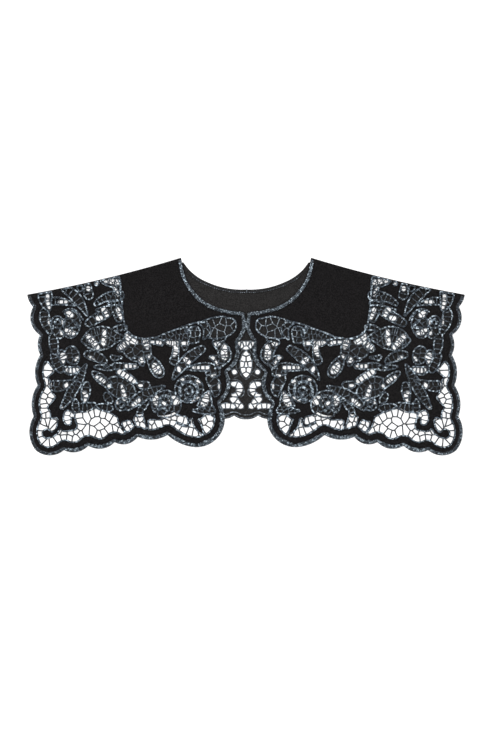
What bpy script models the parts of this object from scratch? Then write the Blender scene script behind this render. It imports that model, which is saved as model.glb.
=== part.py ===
"""A cutwork lace collar laid flat: a back, and two fronts that fold over it along the shoulders.

Sizes in the tables are millimetres in the plane that the collar lies on. "out" is the distance
from the centre line, "up" points to the neck. Both halves of the collar are mirror images.
"""
import math

import bmesh
import bpy
import numpy as np
from mathutils import Vector

MM = 0.001

# The cloth and its layers
CLOTH = 1.2
LAYER_GAP = 0.3
FRONT_LOW = CLOTH + LAYER_GAP
FRONT_MID = FRONT_LOW + CLOTH / 2
TRIM_WIDTH = 4.3
TRIM_THICKNESS = 0.8
NECK_TAPE_WIDTH = 3.8
NECK_TAPE_THICKNESS = 0.7
NECK_TAPE_REACH = 72.0

# The shoulder fold runs from the neck to the shoulder's tip, and sags a little between them
NECK_POINT = (81.5, 123.5)
SHOULDER_TIP = (274.2, 77.2)
FOLD_SAG = 3.0
FOLD_RADIUS = 1.9
FOLD_RELAX = 25.0
FOLD_ROLL_STEPS = 6
FOLD_RELAX_STEPS = 4
FOLD_CLEAR = 3.2
OVER_FOLD = 30.0

# The cutwork
OPENING_MARGIN = 10.0
GROUND_MARGIN = 13.2
CORNER_MARGIN = 10.4
BAR_WIDTH = 1.3
GROUND_PITCH = 9.5
GROUND_RIM = 4.3
SMALLEST_GAP = 4.0
FRONT_GAP_LIMIT = 105
BACK_GAP_LIMIT = 85
GRID_STEP = 0.5
LOOP_TOLERANCE = 0.3
ARC_STEPS = 7
PATTERN_SEED = 7

# Scalloped edge of a front, from the shoulder's tip round the hem to the neckline:
# a point (out, up), and the crest (out, up) that the edge passes on its way to the next row
FRONT_EDGE = (
    (273.6, 74.5, 271.4, 68.5),
    (266.8, 62.3, 270.6, 48),
    (258.6, 27, 261.4, 14),
    (258.2, 2, 264.9, -17),
    (261.7, -36, 269.2, -58),
    (266.6, -75, 272.1, -95),
    (264.2, -117.6, 247, -124.2),
    (228.5, -117.6, 214, -120.3),
    (198, -112, 183, -116),
    (165, -107.6, 151, -110.2),
    (136, -100.9, 118.5, -104.5),
    (98.5, -98.6, 82, -109.4),
    (63, -114, 30.6, -94.8),
    (32.8, -58, 19.4, -38),
    (23.6, -19.5, 8, 2),
    (10.5, 18.5, 3.4, 27),
    (1.3, 42, 1.4, 49),
    (2.6, 56, 12, 56.4),
    (27, 59.5, 44.5, 65.3),
    (60, 76.5, 70.5, 89.5),
    (78, 106, 79.6, 114),
)

# Edge of the back, from the shoulder's tip round the hem to the centre, as above
BACK_EDGE = (
    (263.5, 61, 266.8, 48),
    (255, 27.5, 257.6, 14),
    (254.3, 2, 253, -4),
    (248, -8, 241, -18),
    (243, -31, 244, -42),
    (236, -53, 233, -60),
    (222, -66, 207, -69.5),
    (192, -64, 176, -68.5),
    (158, -67, 140, -73),
    (122, -70, 107, -74.5),
    (90, -70, 76, -75.5),
    (60, -71, 51, -73.5),
    (42, -71.5, 28, -78.3),
    (15, -74.2, 8, -78),
)
BACK_HEM_CENTRE = (0, -79)
BACK_NECK_OUTER = (79.6, 120.2)
BACK_NECK_HOLLOW = (66, 103.8)
BACK_NECK_INNER = (50, 94)
BACK_NECK_DIP = (26, 86)
BACK_NECK_CENTRE = (0, 84)

# Openings of a front: the spine's start, middle and end (out, up), the widths there, the net's pitch
# A pitch of 0 leaves a row without cells of its own: other rows of the opening put them there
FRONT_OPENINGS = (
    ("corner_fan", 252, 82, 251, 72, 248, 60, 16, 15, 6, 6.5),
    ("high_leaf", 246, 68.5, 231, 69, 214, 63.7, 7, 7.5, 0, 5.5),
    ("shoulder_leaf", 229, 84, 213.5, 74.5, 198.5, 50, 4, 11, 0, 6),
    ("shoulder_bud", 198, 89, 198, 82, 197, 77, 6, 9, 10, 6.5),
    ("shoulder_eyelet", 187, 91.5, 187, 91.5, 187, 91.5, 4.5, 4.5, 4.5, 6.5),
    ("small_bud", 209, 88, 208, 86, 207, 84, 4, 6, 4, 6.5),
    ("seam_fan", 184, 96, 172, 94, 163, 92, 1, 10, 11, 5),
    ("seam_fan", 163, 97, 162, 88, 160.5, 80, 9, 9, 4, 5),
    ("finger_high", 188, 66, 175, 74, 159, 76.5, 4, 9, 11, 5.5),
    ("finger_middle", 173, 66, 166, 66.8, 157.5, 67, 1, 3.5, 5, 4.5),
    ("finger_low", 197, 42, 185, 49, 172, 56, 8, 11, 9, 6),
    ("finger_low", 188, 58, 176, 59, 160, 60, 1, 6, 8, 6),
    ("finger_low", 164, 58, 160.5, 52, 159, 47.5, 6, 9, 8, 6),
    ("seam_leaf", 166, 34, 159, 36, 152.5, 36.5, 3, 5.5, 6, 5.5),
    ("great_leaf", 206, 20, 198, 20.5, 190, 21.5, 1, 13, 25, 7.5),
    ("great_leaf", 190, 21.5, 181, 23, 170, 24, 25, 28, 18, 7.5),
    ("great_leaf", 170, 24, 161, 24, 152, 23.5, 18, 9, 1, 7.5),
    ("side_strip", 252, 57, 252, 46, 246, 31, 8, 11, 5, 6),
    ("bud_round", 221, 50, 218, 42, 220, 31, 15, 20, 15, 6.5),
    ("bud_ring", 237, 44, 236, 43, 235, 42, 12, 14, 12, 6.5),
    ("bud_drop", 238, 33, 236, 30, 233, 27, 8, 10, 8, 6.5),
    ("side_slot", 242, 25, 241, 15, 240, 6, 8, 10, 7, 6.5),
    ("petal_top", 219, 6, 218, 1, 216, -4, 13, 17, 11, 6),
    ("petal_left", 241, 1, 238, -7, 233, -16, 7, 9, 8, 6.5),
    ("petal_gap", 231, 5, 230, -1, 229, -9, 6, 8, 2, 5.5),
    ("petal_low", 226, -16.5, 219, -18, 211, -15.5, 6, 9, 5, 5),
    ("side_wedge", 240, -37, 229, -36, 212, -29, 12, 10, 0, 6),
    ("long_leaf", 200, -9, 215, -38.5, 232.5, -67, 0, 11.5, 1, 5),
    ("hip_oval", 200, -36, 201, -45, 202.5, -55, 7, 10, 5, 6),
    ("hip_leaf", 214, -54, 213.5, -61, 213, -67, 1, 7.5, 7, 6),
    ("hip_fan", 206, -64, 198, -63.5, 190, -60, 9, 10, 3, 6),
    ("tongue", 199, 2.5, 188, 0, 177, -6, 7, 11, 5, 6.5),
    ("tongue_low", 190, -13, 179, -13.5, 169, -14, 1, 5.5, 6, 5.5),
    ("bean", 191, -21, 182, -28, 172, -37, 4, 9.5, 6, 6),
    ("field_eye", 168, 0, 163, -3, 157, -3, 3, 6, 5, 5),
    ("yoke_band", 157, 10, 149, 19, 148, 27, 8, 9, 6, 6),
    ("yoke_band", 146, 24, 139, 20, 128, 18, 7, 8, 7, 7.5),
    ("yoke_band", 150, 16, 141, 9, 136, 2, 10, 24, 14, 7.5),
    ("yoke_band", 125, 16.5, 124, 6, 122, -1, 9, 9, 5, 5.5),
    ("yoke_band", 131, -1, 131, -6, 129.5, -11, 6, 7, 2, 6),
    ("yoke_band", 124, 19, 116, 19.5, 106, 17, 5, 7, 6, 6),
    ("yoke_band", 110, 23.5, 95, 25.5, 77, 28.5, 2, 10, 15, 5.5),
    ("yoke_band", 100, 19, 94, 17.5, 88, 18, 3, 8, 7, 5.5),
    ("yoke_band", 88, 17, 88, 5, 90, -5, 7, 7, 10, 6),
    ("yoke_band", 77, 21, 77, 15, 77, 9, 9, 8, 2, 5.5),
    ("yoke_end", 78, 29.5, 66, 28, 54, 33.5, 15, 22, 19, 7),
    ("shelf", 166, -12, 152, -12.5, 138, -12.5, 7, 7, 4, 5.5),
    ("ladder", 158.5, -19.5, 149.5, -25, 140.5, -31, 7, 7.5, 6, 5.5),
    ("dark_field", 172, -34, 160, -38, 146, -45, 6, 24, 14, 6.5),
    ("dark_leaf", 175, -48, 173, -52, 170, -56, 5, 8, 5, 6.5),
    ("scroll_fan", 186, -62, 177, -64, 170, -65, 3, 8.5, 6, 6),
    ("scroll_eye", 156, -60, 156, -60, 156, -60, 15, 15, 15, 6.5),
    ("feather", 148, -66, 131, -50.5, 101, -37, 3, 12, 0, 6),
    ("feather_low", 133.5, -73, 128.5, -63, 119, -52, 6, 6.5, 0, 6),
    ("flower", 102, -59.5, 100, -60, 97, -60.5, 32, 33, 30, 6.5),
    ("rosette", 73, -41, 71.5, -41, 70, -41, 31, 33, 32, 6.5),
    ("edge_net", 45, -28, 39, -36, 38, -48, 9, 13, 5, 7.5),
    ("star_net", 47.5, -45, 50, -56, 52, -63, 3, 13, 17, 7),
    ("star_net", 67, -68, 54, -66, 42, -67, 0, 11, 8, 7),
    ("fan", 55, 35.5, 38, 35.5, 23.5, 38.6, 14, 26, 21.5, 9),
    ("fan", 30, 43, 24, 42.9, 17.9, 42.5, 9, 8.5, 8.5, 0),
    ("fan_point", 33, 26, 31, 24, 29, 22.5, 12, 9, 6, 20),
    ("knob", 133, -35, 129, -36, 125, -36, 7, 9, 8, 6.5),
    ("pod", 119, -4, 113.5, -13, 109, -20, 8, 14, 12, 6.5),
    ("slant_leaf", 92, -30, 76.5, -7, 55, 9.5, 0, 12, 7, 6.5),
    ("edge_crescent", 38, 17.5, 27, 5, 29, -11, 7, 14.5, 11, 7),
    ("edge_crescent", 44, -1.5, 38, -4.5, 33, -9, 3, 9, 9, 7),
    ("low_leaf", 76, -16, 58, -13.5, 43, -13.5, 0, 8.5, 8, 6),
    ("low_fan", 49, -21, 42, -20.5, 36, -19.5, 3, 7, 9, 6.5),
    ("curl_eye", 223.5, -72.5, 224, -79, 222.5, -83, 8.5, 9, 5, 6.5),
    ("curl_eye", 220, -72, 218, -74, 216.5, -74.5, 5, 5, 3, 6.5),
)

# The open ground along the side and the hem: corners (out, up), taken past the collar's edge
FRONT_GROUND = (
    (290, -5), (249, -7), (240, -18), (250, -26), (246, -31), (244, -45), (239, -51), (250, -64), (246, -70),
    (246, -79), (238, -77), (231, -92), (222, -93), (214, -89), (213, -80), (217, -71), (200, -70), (191, -65),
    (180, -68), (171, -71), (161, -77), (157, -83), (145, -80), (138, -75), (134, -72), (128, -77), (123, -80),
    (107, -80), (101, -74), (88, -73), (72, -77), (66, -79), (57, -79), (50, -73), (36, -75), (20, -140), (290, -140),
)

# Stems, veins and curls that cross the openings: start, middle, end (out, up), the widths there
FRONT_STEMS = (
    ("bud_disc", 228.5, 50, 228.5, 50, 228.5, 50, 8, 8, 8),
    ("bud_curl", 217, 45, 211, 38, 219, 36, 2.5, 2.5, 2.5),
    ("ball", 250, -97, 250, -97, 250, -97, 12.5, 12.5, 12.5),
    ("ball_stem", 248, -99, 238, -94, 234, -80, 7, 6, 5),
    ("curl", 231, -68, 231.5, -88, 221, -91, 5.5, 6, 5),
    ("curl_hook", 221, -91, 214, -88, 218, -78, 5, 5, 4),
    ("stem_slant", 159, -78, 155, -90, 148, -97, 5.5, 3.8, 1.5),
    ("stem_two", 143, -74, 141, -84, 133, -95, 6.5, 4.5, 1.5),
    ("stem_three", 126, -70, 125, -80, 123, -94, 8, 6, 2),
    ("spike", 65, -77, 60, -88, 52, -99.5, 5, 9.5, 0),
    ("tendril", 73, -74, 73, -86.5, 87, -83, 4, 3.5, 2.5),
    ("flower_arm", 113, -74, 107, -64, 99, -68, 4, 3, 2.5),
    ("cane", 63, 39.5, 55.5, 33, 58, 17, 4, 5.5, 5),
    ("cane_hook", 73.5, 30, 72.5, 36.5, 63, 39.5, 2.5, 3.5, 4),
    ("crescent_tip", 56, -2, 45, -4, 38, -12, 1, 3, 2),
    ("star_leaf", 70, -64, 61, -64.5, 54, -60, 4, 3.5, 0),
    ("field_leaf", 176, -14, 160, -5, 138, -2, 2, 4, 0),
)

# Round scrolls that cross the openings: centre (out, up), radius, from and to angle in degrees, width
FRONT_SCROLLS = (
    ("flower_scroll", 101, -57.5, 8, -60, 230, 3.0),
    ("rosette_scroll", 72, -43, 11.5, -30, 290, 2.8),
    ("rosette_heart", 71, -43, 4.5, 0, 300, 2.2),
    ("ring_curl", 236, 43, 3.5, -40, 200, 2.0),
    ("scroll_curl", 156, -60, 3.5, 30, 300, 2.0),
)

# Openings of the back, as for the front
BACK_OPENINGS = (
    ("tip_fan", 249, 76, 249, 69, 247, 61, 4.5, 4.5, 3.5, 5),
    ("tip_leaf", 234, 68.5, 229, 68.5, 224, 68.5, 4, 4, 3, 6),
    ("shoulder_bud", 198, 86, 198, 85.2, 198, 84.4, 5, 5.5, 5, 9),
    ("shoulder_eyelet", 187, 91, 187, 91, 187, 91, 4.5, 4.5, 4.5, 7),
    ("seam_row", 177, 94.5, 170, 94, 162, 93, 3.5, 5.5, 8, 6),
    ("seam_bud", 166, 86, 163, 82, 161, 77, 3.5, 4, 3.5, 6),
    ("bud", 223, 54, 222, 53, 220, 52, 7, 7, 6.5, 10.5),
    ("bud_side", 246, 46, 246, 44, 246, 41, 4.5, 5.5, 4.5, 10.5),
    ("bud_crescent", 231, 44, 230, 42.5, 229, 41, 3.5, 4.5, 3.5, 10.5),
    ("bud_ladder", 226, 33, 221, 30.5, 216, 29.5, 4.5, 6.5, 4.5, 4.5),
    ("bud_low", 232, 33, 231.5, 31, 231, 29, 3.5, 4.5, 4.5, 10.5),
    ("finger", 186, 48, 184, 48, 182, 48.3, 5.5, 6, 5, 10.5),
    ("finger_chain", 179, 59, 176, 56, 174, 51.5, 6.5, 5.5, 5.5, 6),
    ("finger_end", 161, 59, 159, 54, 157, 48, 5, 5, 3.5, 6.5),
    ("leaf_ladder", 198, 25, 192, 18, 187, 11.5, 6.5, 7, 6.5, 6),
    ("leaf_column", 178, 32, 178, 25, 179, 16.5, 4.5, 5.5, 6, 9),
    ("petal_gap", 231, 2, 229, -1, 229, -7, 4.5, 8, 3.5, 5.5),
    ("petal_side", 214, -5, 213, -3, 211, -1, 2.5, 3.5, 2.5, 10.5),
    ("tongue", 197, -0.5, 194, -2, 191, -4.5, 2.5, 4, 2.5, 9),
    ("petal_low", 224, -17, 218, -17.5, 212, -16.5, 5, 6.2, 4.5, 4.2),
    ("yoke_corner", 151, 27, 146, 21.5, 139, 18, 4.5, 6.5, 6, 9),
    ("corner_ladder", 162, 10.5, 156, 13, 149, 17, 5.5, 7, 5.5, 5),
    ("spray", 126, 18, 125, 15, 124, 11, 7, 7, 4.5, 5),
    ("spray_low", 121, 0, 126, -2, 131, -4.5, 5.5, 5.5, 7, 6),
    ("row_outer", 119, 17, 113, 17, 108, 17, 4.5, 5.5, 4.5, 6.5),
    ("row_middle", 98, 16.5, 91, 15.5, 83, 16.5, 5.5, 8, 4.5, 6),
    ("row_inner", 79, 16.5, 76, 16, 71, 16.5, 4.5, 5.5, 3.5, 6),
    ("pillar", 88, 9, 88, 6, 90, 2, 6.5, 5.5, 4.5, 5.5),
    ("slant", 76, -3.5, 74, -5.5, 71, -7.5, 5.5, 6.5, 4.5, 6),
    ("slant_low", 85, -14, 84, -17, 84.5, -19, 3.5, 4.5, 2.5, 9),
    ("crescent", 27, 13, 27.5, 7, 27, -1, 5.5, 7.5, 7.5, 6),
    ("crescent_high", 38, 14.5, 36, 15.5, 34, 16, 5.5, 5.5, 3.5, 6),
    ("crescent_spot", 42, -1.5, 39.5, -4.5, 37, -9, 5.5, 3.5, 4.5, 7),
    ("low_leaf", 66, -14, 57, -14, 48, -14, 3.5, 4, 4.5, 6),
    ("low_spot", 43, -24, 41, -24, 38.5, -23.5, 2.5, 3, 2.5, 9),
    ("pod", 115, -11, 112.5, -15, 110, -18, 6, 9.5, 8, 6),
    ("shelf", 151, -12, 146, -12, 139, -12, 4.5, 5, 3, 5.5),
    ("ladder", 159, -19, 150, -25, 140.5, -32, 6.5, 7, 6.5, 6),
    ("wedge", 227, -37, 225.5, -36, 224, -33.5, 4.5, 4.5, 2.5, 9),
    ("hip", 204, -45, 201, -48.5, 202.5, -56, 3.5, 5.5, 3, 6),
    ("bean", 188, -25.5, 183, -28, 179, -31, 3.5, 4.5, 5.5, 6),
    ("bean_spot", 171.5, -37.5, 171.5, -37.5, 171.5, -37.5, 5.5, 5.5, 5.5, 9),
    ("field", 155.5, -37, 154.5, -43, 152, -53, 3.5, 4.5, 6.5, 6),
    ("scroll_spot", 162, -58, 161.5, -58, 161, -58.5, 3.5, 3.5, 3.5, 9),
    ("feather", 142, -61, 139, -59, 135, -55, 3.5, 4.5, 5.5, 6),
    ("knob", 134, -36.5, 132.5, -36.5, 131, -36.5, 3.5, 3.5, 3.5, 9),
    ("flower_outer", 113, -52, 114.5, -56, 110, -60, 6.5, 7, 4.5, 6.5),
    ("flower_middle", 104, -58, 102.5, -59, 101, -60.5, 3.5, 4, 3.5, 9),
    ("flower_inner", 94, -54, 88, -55, 90, -59, 6.5, 10, 3.5, 9),
    ("rosette_high", 81, -28.5, 80, -28.5, 79, -29, 3.5, 3.5, 3.5, 9),
    ("rosette_inner", 60, -31.5, 59.5, -32, 62, -35, 5.5, 6.5, 3.5, 6),
    ("rosette_low", 67, -57, 64, -55, 60, -52, 3.5, 3.5, 3.5, 7),
    ("edge_slit", 33, -33, 33.3, -36, 33.5, -39, 3, 3.5, 3.5, 9),
    ("star_slit", 45, -38, 45.5, -42, 46.5, -46, 3.5, 3, 3.5, 6),
    ("star", 50, -50, 50.5, -54, 53, -59, 5.5, 8, 8, 6.5),
    ("centre_row", 0, 13.5, 4, 14.5, 8, 15.5, 10, 8.5, 6, 4.6),
    ("centre_oval", 0, 6.5, 0, -10, 0, -26, 1, 14.5, 1, 0),
    ("centre_oval", 0, 4, 0, 4, 0, 4, 3, 3, 3, 6),
    ("centre_oval", 2.9, -2.8, 2.9, -2.8, 2.9, -2.8, 3, 3, 3, 6),
    ("centre_oval", 4.4, -9.8, 4.4, -9.8, 4.4, -9.8, 3, 3, 3, 6),
    ("centre_oval", 0, -10.5, 0, -10.5, 0, -10.5, 3, 3, 3, 6),
    ("centre_oval", 3, -17, 3, -17, 3, -17, 3, 3, 3, 6),
    ("centre_oval", 0, -22.8, 0, -22.8, 0, -22.8, 2, 2, 2, 6),
    ("centre_eye", 14.5, -19.5, 14.5, -19.5, 14.5, -19.5, 6, 6, 6, 9),
    ("centre_crescent", 16.5, -34.5, 9, -37, 8.5, -44, 5, 7.5, 6.5, 6.5),
    ("centre_crescent", 8.5, -44, 11, -47.5, 17.5, -48.5, 5.5, 4.5, 2, 6.5),
    ("centre_low", 29, -62.5, 22, -62, 16, -63, 5.5, 6, 5, 6.5),
    ("centre_low", 18, -53.5, 14, -55.5, 10, -59, 4, 7.5, 6, 7.5),
    ("centre_low", 11, -60, 8, -62, 6, -62.5, 5.5, 6.5, 5.5, 6.5),
)


def arc_through(start, crest, end, steps):
    """Points from start towards end, without end, on the circle through all three."""
    (ax, ay), (bx, by), (cx, cy) = start, crest, end
    twice_area = 2 * (ax * (by - cy) + bx * (cy - ay) + cx * (ay - by))
    if abs(twice_area) < 1e-3:
        return [(ax + (cx - ax) * i / steps, ay + (cy - ay) * i / steps) for i in range(steps)]
    a2, b2, c2 = ax * ax + ay * ay, bx * bx + by * by, cx * cx + cy * cy
    ux = (a2 * (by - cy) + b2 * (cy - ay) + c2 * (ay - by)) / twice_area
    uy = (a2 * (cx - bx) + b2 * (ax - cx) + c2 * (bx - ax)) / twice_area
    radius = math.hypot(ax - ux, ay - uy)
    first = math.atan2(ay - uy, ax - ux)
    middle = (math.atan2(by - uy, bx - ux) - first) % math.tau
    sweep = (math.atan2(cy - uy, cx - ux) - first) % math.tau
    if middle > sweep:
        sweep -= math.tau
    angles = [first + sweep * i / steps for i in range(steps)]
    return [(ux + radius * math.cos(a), uy + radius * math.sin(a)) for a in angles]


def edge_path(first, rows, last, steps=ARC_STEPS):
    """An edge from its first point through the rows of a table to its last point."""
    points = [first]
    ends = [(row[0], row[1]) for row in rows[1:]] + [last]
    for row, end in zip(rows, ends):
        points += arc_through((row[0], row[1]), (row[2], row[3]), end, steps)
    return points + [last]


def front_edge():
    return edge_path(SHOULDER_TIP, FRONT_EDGE, NECK_POINT)


def front_cloth_edge():
    """The front's edge, taken on over the fold, where the cloth goes on."""
    return front_edge() + [from_fold(0, -OVER_FOLD), from_fold(fold_frame()[0], -OVER_FOLD)]


def back_hem_edge():
    """Half of the back's edge, from below the shoulder's tip to the centre of the hem."""
    return edge_path(shoulder_point(1.0, FOLD_RADIUS + LAYER_GAP, 3.0), BACK_EDGE, BACK_HEM_CENTRE)


def back_neck_edge():
    """Half of the back's neckline, from the centre to the shoulder."""
    inner = arc_through(BACK_NECK_CENTRE, BACK_NECK_DIP, BACK_NECK_INNER, ARC_STEPS)
    return inner + arc_through(BACK_NECK_INNER, BACK_NECK_HOLLOW, BACK_NECK_OUTER, ARC_STEPS) + [BACK_NECK_OUTER]


def fold_frame():
    """The fold's length, its direction away from the neck, and the direction out over it."""
    dx, dy = SHOULDER_TIP[0] - NECK_POINT[0], SHOULDER_TIP[1] - NECK_POINT[1]
    length = math.hypot(dx, dy)
    return length, (dx / length, dy / length), (-dy / length, dx / length)


def to_fold(x, y):
    """Distance along the fold and distance in from it, for points or whole grids."""
    length, along, over = fold_frame()
    u = (x - NECK_POINT[0]) * along[0] + (y - NECK_POINT[1]) * along[1]
    v = (x - NECK_POINT[0]) * over[0] + (y - NECK_POINT[1]) * over[1]
    return u, -4 * FOLD_SAG * (u / length) * (1 - u / length) - v


def from_fold(u, inwards):
    """The place in the plane at a distance along the fold and in from it."""
    length, along, over = fold_frame()
    v = -4 * FOLD_SAG * (u / length) * (1 - u / length) - inwards
    return (NECK_POINT[0] + u * along[0] + v * over[0], NECK_POINT[1] + u * along[1] + v * over[1])


def shoulder_point(share, inwards, short=0.0):
    """A point beside the fold, at a share of its length, less a short distance."""
    length = fold_frame()[0]
    return from_fold(share * length - short, inwards)


def quadratic(start, middle, end, count):
    t = np.linspace(0, 1, count)
    return start * (1 - t) * (1 - 2 * t) + middle * 4 * t * (1 - t) + end * t * (2 * t - 1)


def spine_of(row, count=13):
    """Points and half widths along a stroke of a table."""
    x0, y0, x1, y1, x2, y2, w0, w1, w2 = row[1:10]
    half = np.maximum(quadratic(w0, w1, w2, count) / 2, 0.05)
    return quadratic(x0, x1, x2, count), quadratic(y0, y1, y2, count), half


def stroke_distance(x, y, xs, ys, half):
    """Distance from a grid's points to a stroke's edge, negative inside the stroke."""
    nearest = np.full(x.shape, 99.0)
    for i in range(len(xs) - 1):
        dx, dy = xs[i + 1] - xs[i], ys[i + 1] - ys[i]
        t = np.clip(((x - xs[i]) * dx + (y - ys[i]) * dy) / max(dx * dx + dy * dy, 1e-9), 0, 1)
        reach = half[i] + t * (half[i + 1] - half[i])
        nearest = np.minimum(nearest, np.hypot(x - xs[i] - t * dx, y - ys[i] - t * dy) - reach)
    return nearest


def scroll_distance(x, y, row):
    _, cx, cy, radius, first, last, width = row
    angles = np.radians(np.linspace(first, last, 25))
    xs, ys = cx + radius * np.cos(angles), cy + radius * np.sin(angles)
    return stroke_distance(x, y, xs, ys, np.full(25, width / 2))


def polygon_distance(x, y, corners):
    """Distance from a grid's points to a polygon's edge, negative inside it."""
    nearest = np.full(x.shape, 1e9)
    inside = np.zeros(x.shape, bool)
    for (ax, ay), (bx, by) in zip(corners, corners[1:] + corners[:1]):
        dx, dy = bx - ax, by - ay
        t = np.clip(((x - ax) * dx + (y - ay) * dy) / max(dx * dx + dy * dy, 1e-9), 0, 1)
        nearest = np.minimum(nearest, (x - ax - t * dx) ** 2 + (y - ay - t * dy) ** 2)
        if ay != by:
            inside ^= ((ay > y) != (by > y)) & (x < dx * (y - ay) / dy + ax)
    return np.where(inside, -np.sqrt(nearest), np.sqrt(nearest))


def bar_distance(x, y, seeds):
    """Distance to the nearest bar of the net whose cells lie round the seeds."""
    places = np.array(seeds)
    nearest = np.full(x.shape, 1e9)
    second = np.full(x.shape, 1e9)
    nearest_at = np.zeros(x.shape, int)
    second_at = np.zeros(x.shape, int)
    for k, (sx, sy) in enumerate(seeds):
        square = (x - sx) ** 2 + (y - sy) ** 2
        closer = square < nearest
        next_best = ~closer & (square < second)
        second_at = np.where(closer, nearest_at, np.where(next_best, k, second_at))
        second = np.where(closer, nearest, np.where(next_best, square, second))
        nearest_at = np.where(closer, k, nearest_at)
        nearest = np.where(closer, square, nearest)
    if len(seeds) < 2:
        return np.full(x.shape, 99.0)
    apart = np.hypot(*(places[nearest_at] - places[second_at]).transpose(2, 0, 1))
    return (second - nearest) / (2 * np.maximum(apart, 1e-6))


def round_seeds(x, y, radius, pitch, rng):
    """Seeds of a round opening's net: one in the middle and one ring, or the middle alone."""
    if radius < pitch * 0.62:
        return [(x, y)]
    rings = max(1, round((radius - pitch * 0.4) / pitch))
    seeds = [(x, y)]
    for ring in range(1, rings + 1):
        ring_radius = radius * (ring + 0.1) / (rings + 0.6)
        count = max(4, round(math.tau * ring_radius / pitch))
        for k in range(count):
            angle = math.tau * (k + 0.5 * (ring % 2) + rng.uniform(-0.15, 0.15)) / count
            seeds.append((x + ring_radius * math.cos(angle), y + ring_radius * math.sin(angle)))
    return seeds


def stroke_seeds(row, rng):
    """Seeds of the net in one opening, in rows along its spine."""
    xs, ys, half = spine_of(row, 25)
    pitch = row[10]
    if not pitch:
        return []
    along = np.concatenate([[0], np.cumsum(np.hypot(np.diff(xs), np.diff(ys)))])
    length = along[-1]
    if length < pitch * 0.7:
        return round_seeds(xs.mean(), ys.mean(), half.max(), pitch, rng)
    whole = length + half[0] + half[-1]
    stations = max(2, round(whole / pitch))
    seeds = []
    for i in range(stations):
        place = (i + 0.5) / stations * whole - half[0]
        inner = min(max(place, 0), length)
        k = min(int(np.searchsorted(along, inner, side="right")) - 1, len(along) - 2)
        share = (inner - along[k]) / (along[k + 1] - along[k])
        dx, dy = (xs[k + 1] - xs[k]), (ys[k + 1] - ys[k])
        size = math.hypot(dx, dy)
        dx, dy = dx / size, dy / size
        x = xs[k] + share * (xs[k + 1] - xs[k]) + dx * (place - inner)
        y = ys[k] + share * (ys[k + 1] - ys[k]) + dy * (place - inner)
        width = 2 * (half[k] + share * (half[k + 1] - half[k]))
        rows = max(1, round(width / pitch - 0.35))
        for j in range(rows):
            side = ((j + 0.5) / rows - 0.5) * width
            slide = 0.0
            if rows > 1:
                side += rng.uniform(-0.18, 0.18) * pitch
                slide = (rng.uniform(-0.15, 0.15) + (0.25 if j % 2 else -0.25)) * pitch
            seeds.append((x - dy * side + dx * slide, y + dx * side + dy * slide))
    return seeds


def ground_seeds(low, high, pitch, rng):
    """Seeds in uneven rows over a rectangle."""
    seeds = []
    y, row = low[1], 0
    while y < high[1]:
        x = low[0] + (pitch / 2 if row % 2 else 0)
        while x < high[0]:
            seeds.append((x + rng.uniform(-0.27, 0.27) * pitch, y + rng.uniform(-0.27, 0.27) * pitch))
            x += pitch
        y += pitch * 0.87
        row += 1
    return seeds


def rim_seeds(x, y, ground, rng):
    """Seeds of the open ground: a row along its rim, whose bars stand on the rim, and rows inside it."""
    walled = np.maximum(ground + GROUND_RIM, -99.0)
    walled[[0, -1]] = walled[:, [0, -1]] = 99.0
    rim = []
    for loop in trace_loops(x, y, walled):
        path = np.array(loop + loop[:1])
        along = np.concatenate([[0], np.cumsum(np.hypot(*np.diff(path, axis=0).T))])
        count = max(1, round(along[-1] / (GROUND_PITCH * 0.82)))
        stations = (np.arange(count) + rng.uniform(-0.2, 0.2, count)) % count * along[-1] / count
        rim += [(np.interp(t, along, path[:, 0]), np.interp(t, along, path[:, 1])) for t in stations]
    places = np.array(rim)
    inner = ground_seeds((20, -122), (276, -2), GROUND_PITCH, rng)
    clear = [seed for seed in inner if np.hypot(*(places - seed).T).min() > 0.85 * GROUND_PITCH]
    return rim + clear


def centre_seeds(seeds):
    """The seeds with their mirror images over the centre line, one where the two would meet."""
    kept = [(x, y) for x, y in seeds if x > 1.3]
    middle = [(0.0, y) for x, y in seeds if abs(x) <= 1.3]
    return kept + [(-x, y) for x, y in kept] + middle


def cut_openings(x, y, tables, rng):
    """Fields that are negative in the openings, and in the cells of their nets."""
    openings = np.full(x.shape, 99.0)
    cells = np.full(x.shape, 99.0)
    names = list(dict.fromkeys(row[0] for row in tables))
    for name in names:
        rows = [row for row in tables if row[0] == name]
        xs, ys, seeds = [], [], []
        for row in rows:
            xs += [row[1], row[3], row[5]]
            ys += [row[2], row[4], row[6]]
            seeds += stroke_seeds(row, rng)
        if name.startswith("centre"):
            seeds = centre_seeds(seeds)
        near = (slice(*np.searchsorted(y[:, 0], [min(ys) - 22, max(ys) + 22])),
                slice(*np.searchsorted(x[0], [min(xs) - 22, max(xs) + 22])))
        shape = np.full(x[near].shape, 99.0)
        for row in rows:
            shape = np.minimum(shape, stroke_distance(x[near], y[near], *spine_of(row)))
        net = np.maximum(shape, BAR_WIDTH / 2 - bar_distance(x[near], y[near], seeds))
        cells[near] = np.minimum(cells[near], np.maximum(net, BAR_WIDTH / 2 - openings[near]))
        openings[near] = np.minimum(openings[near], shape)
    return openings, cells


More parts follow.
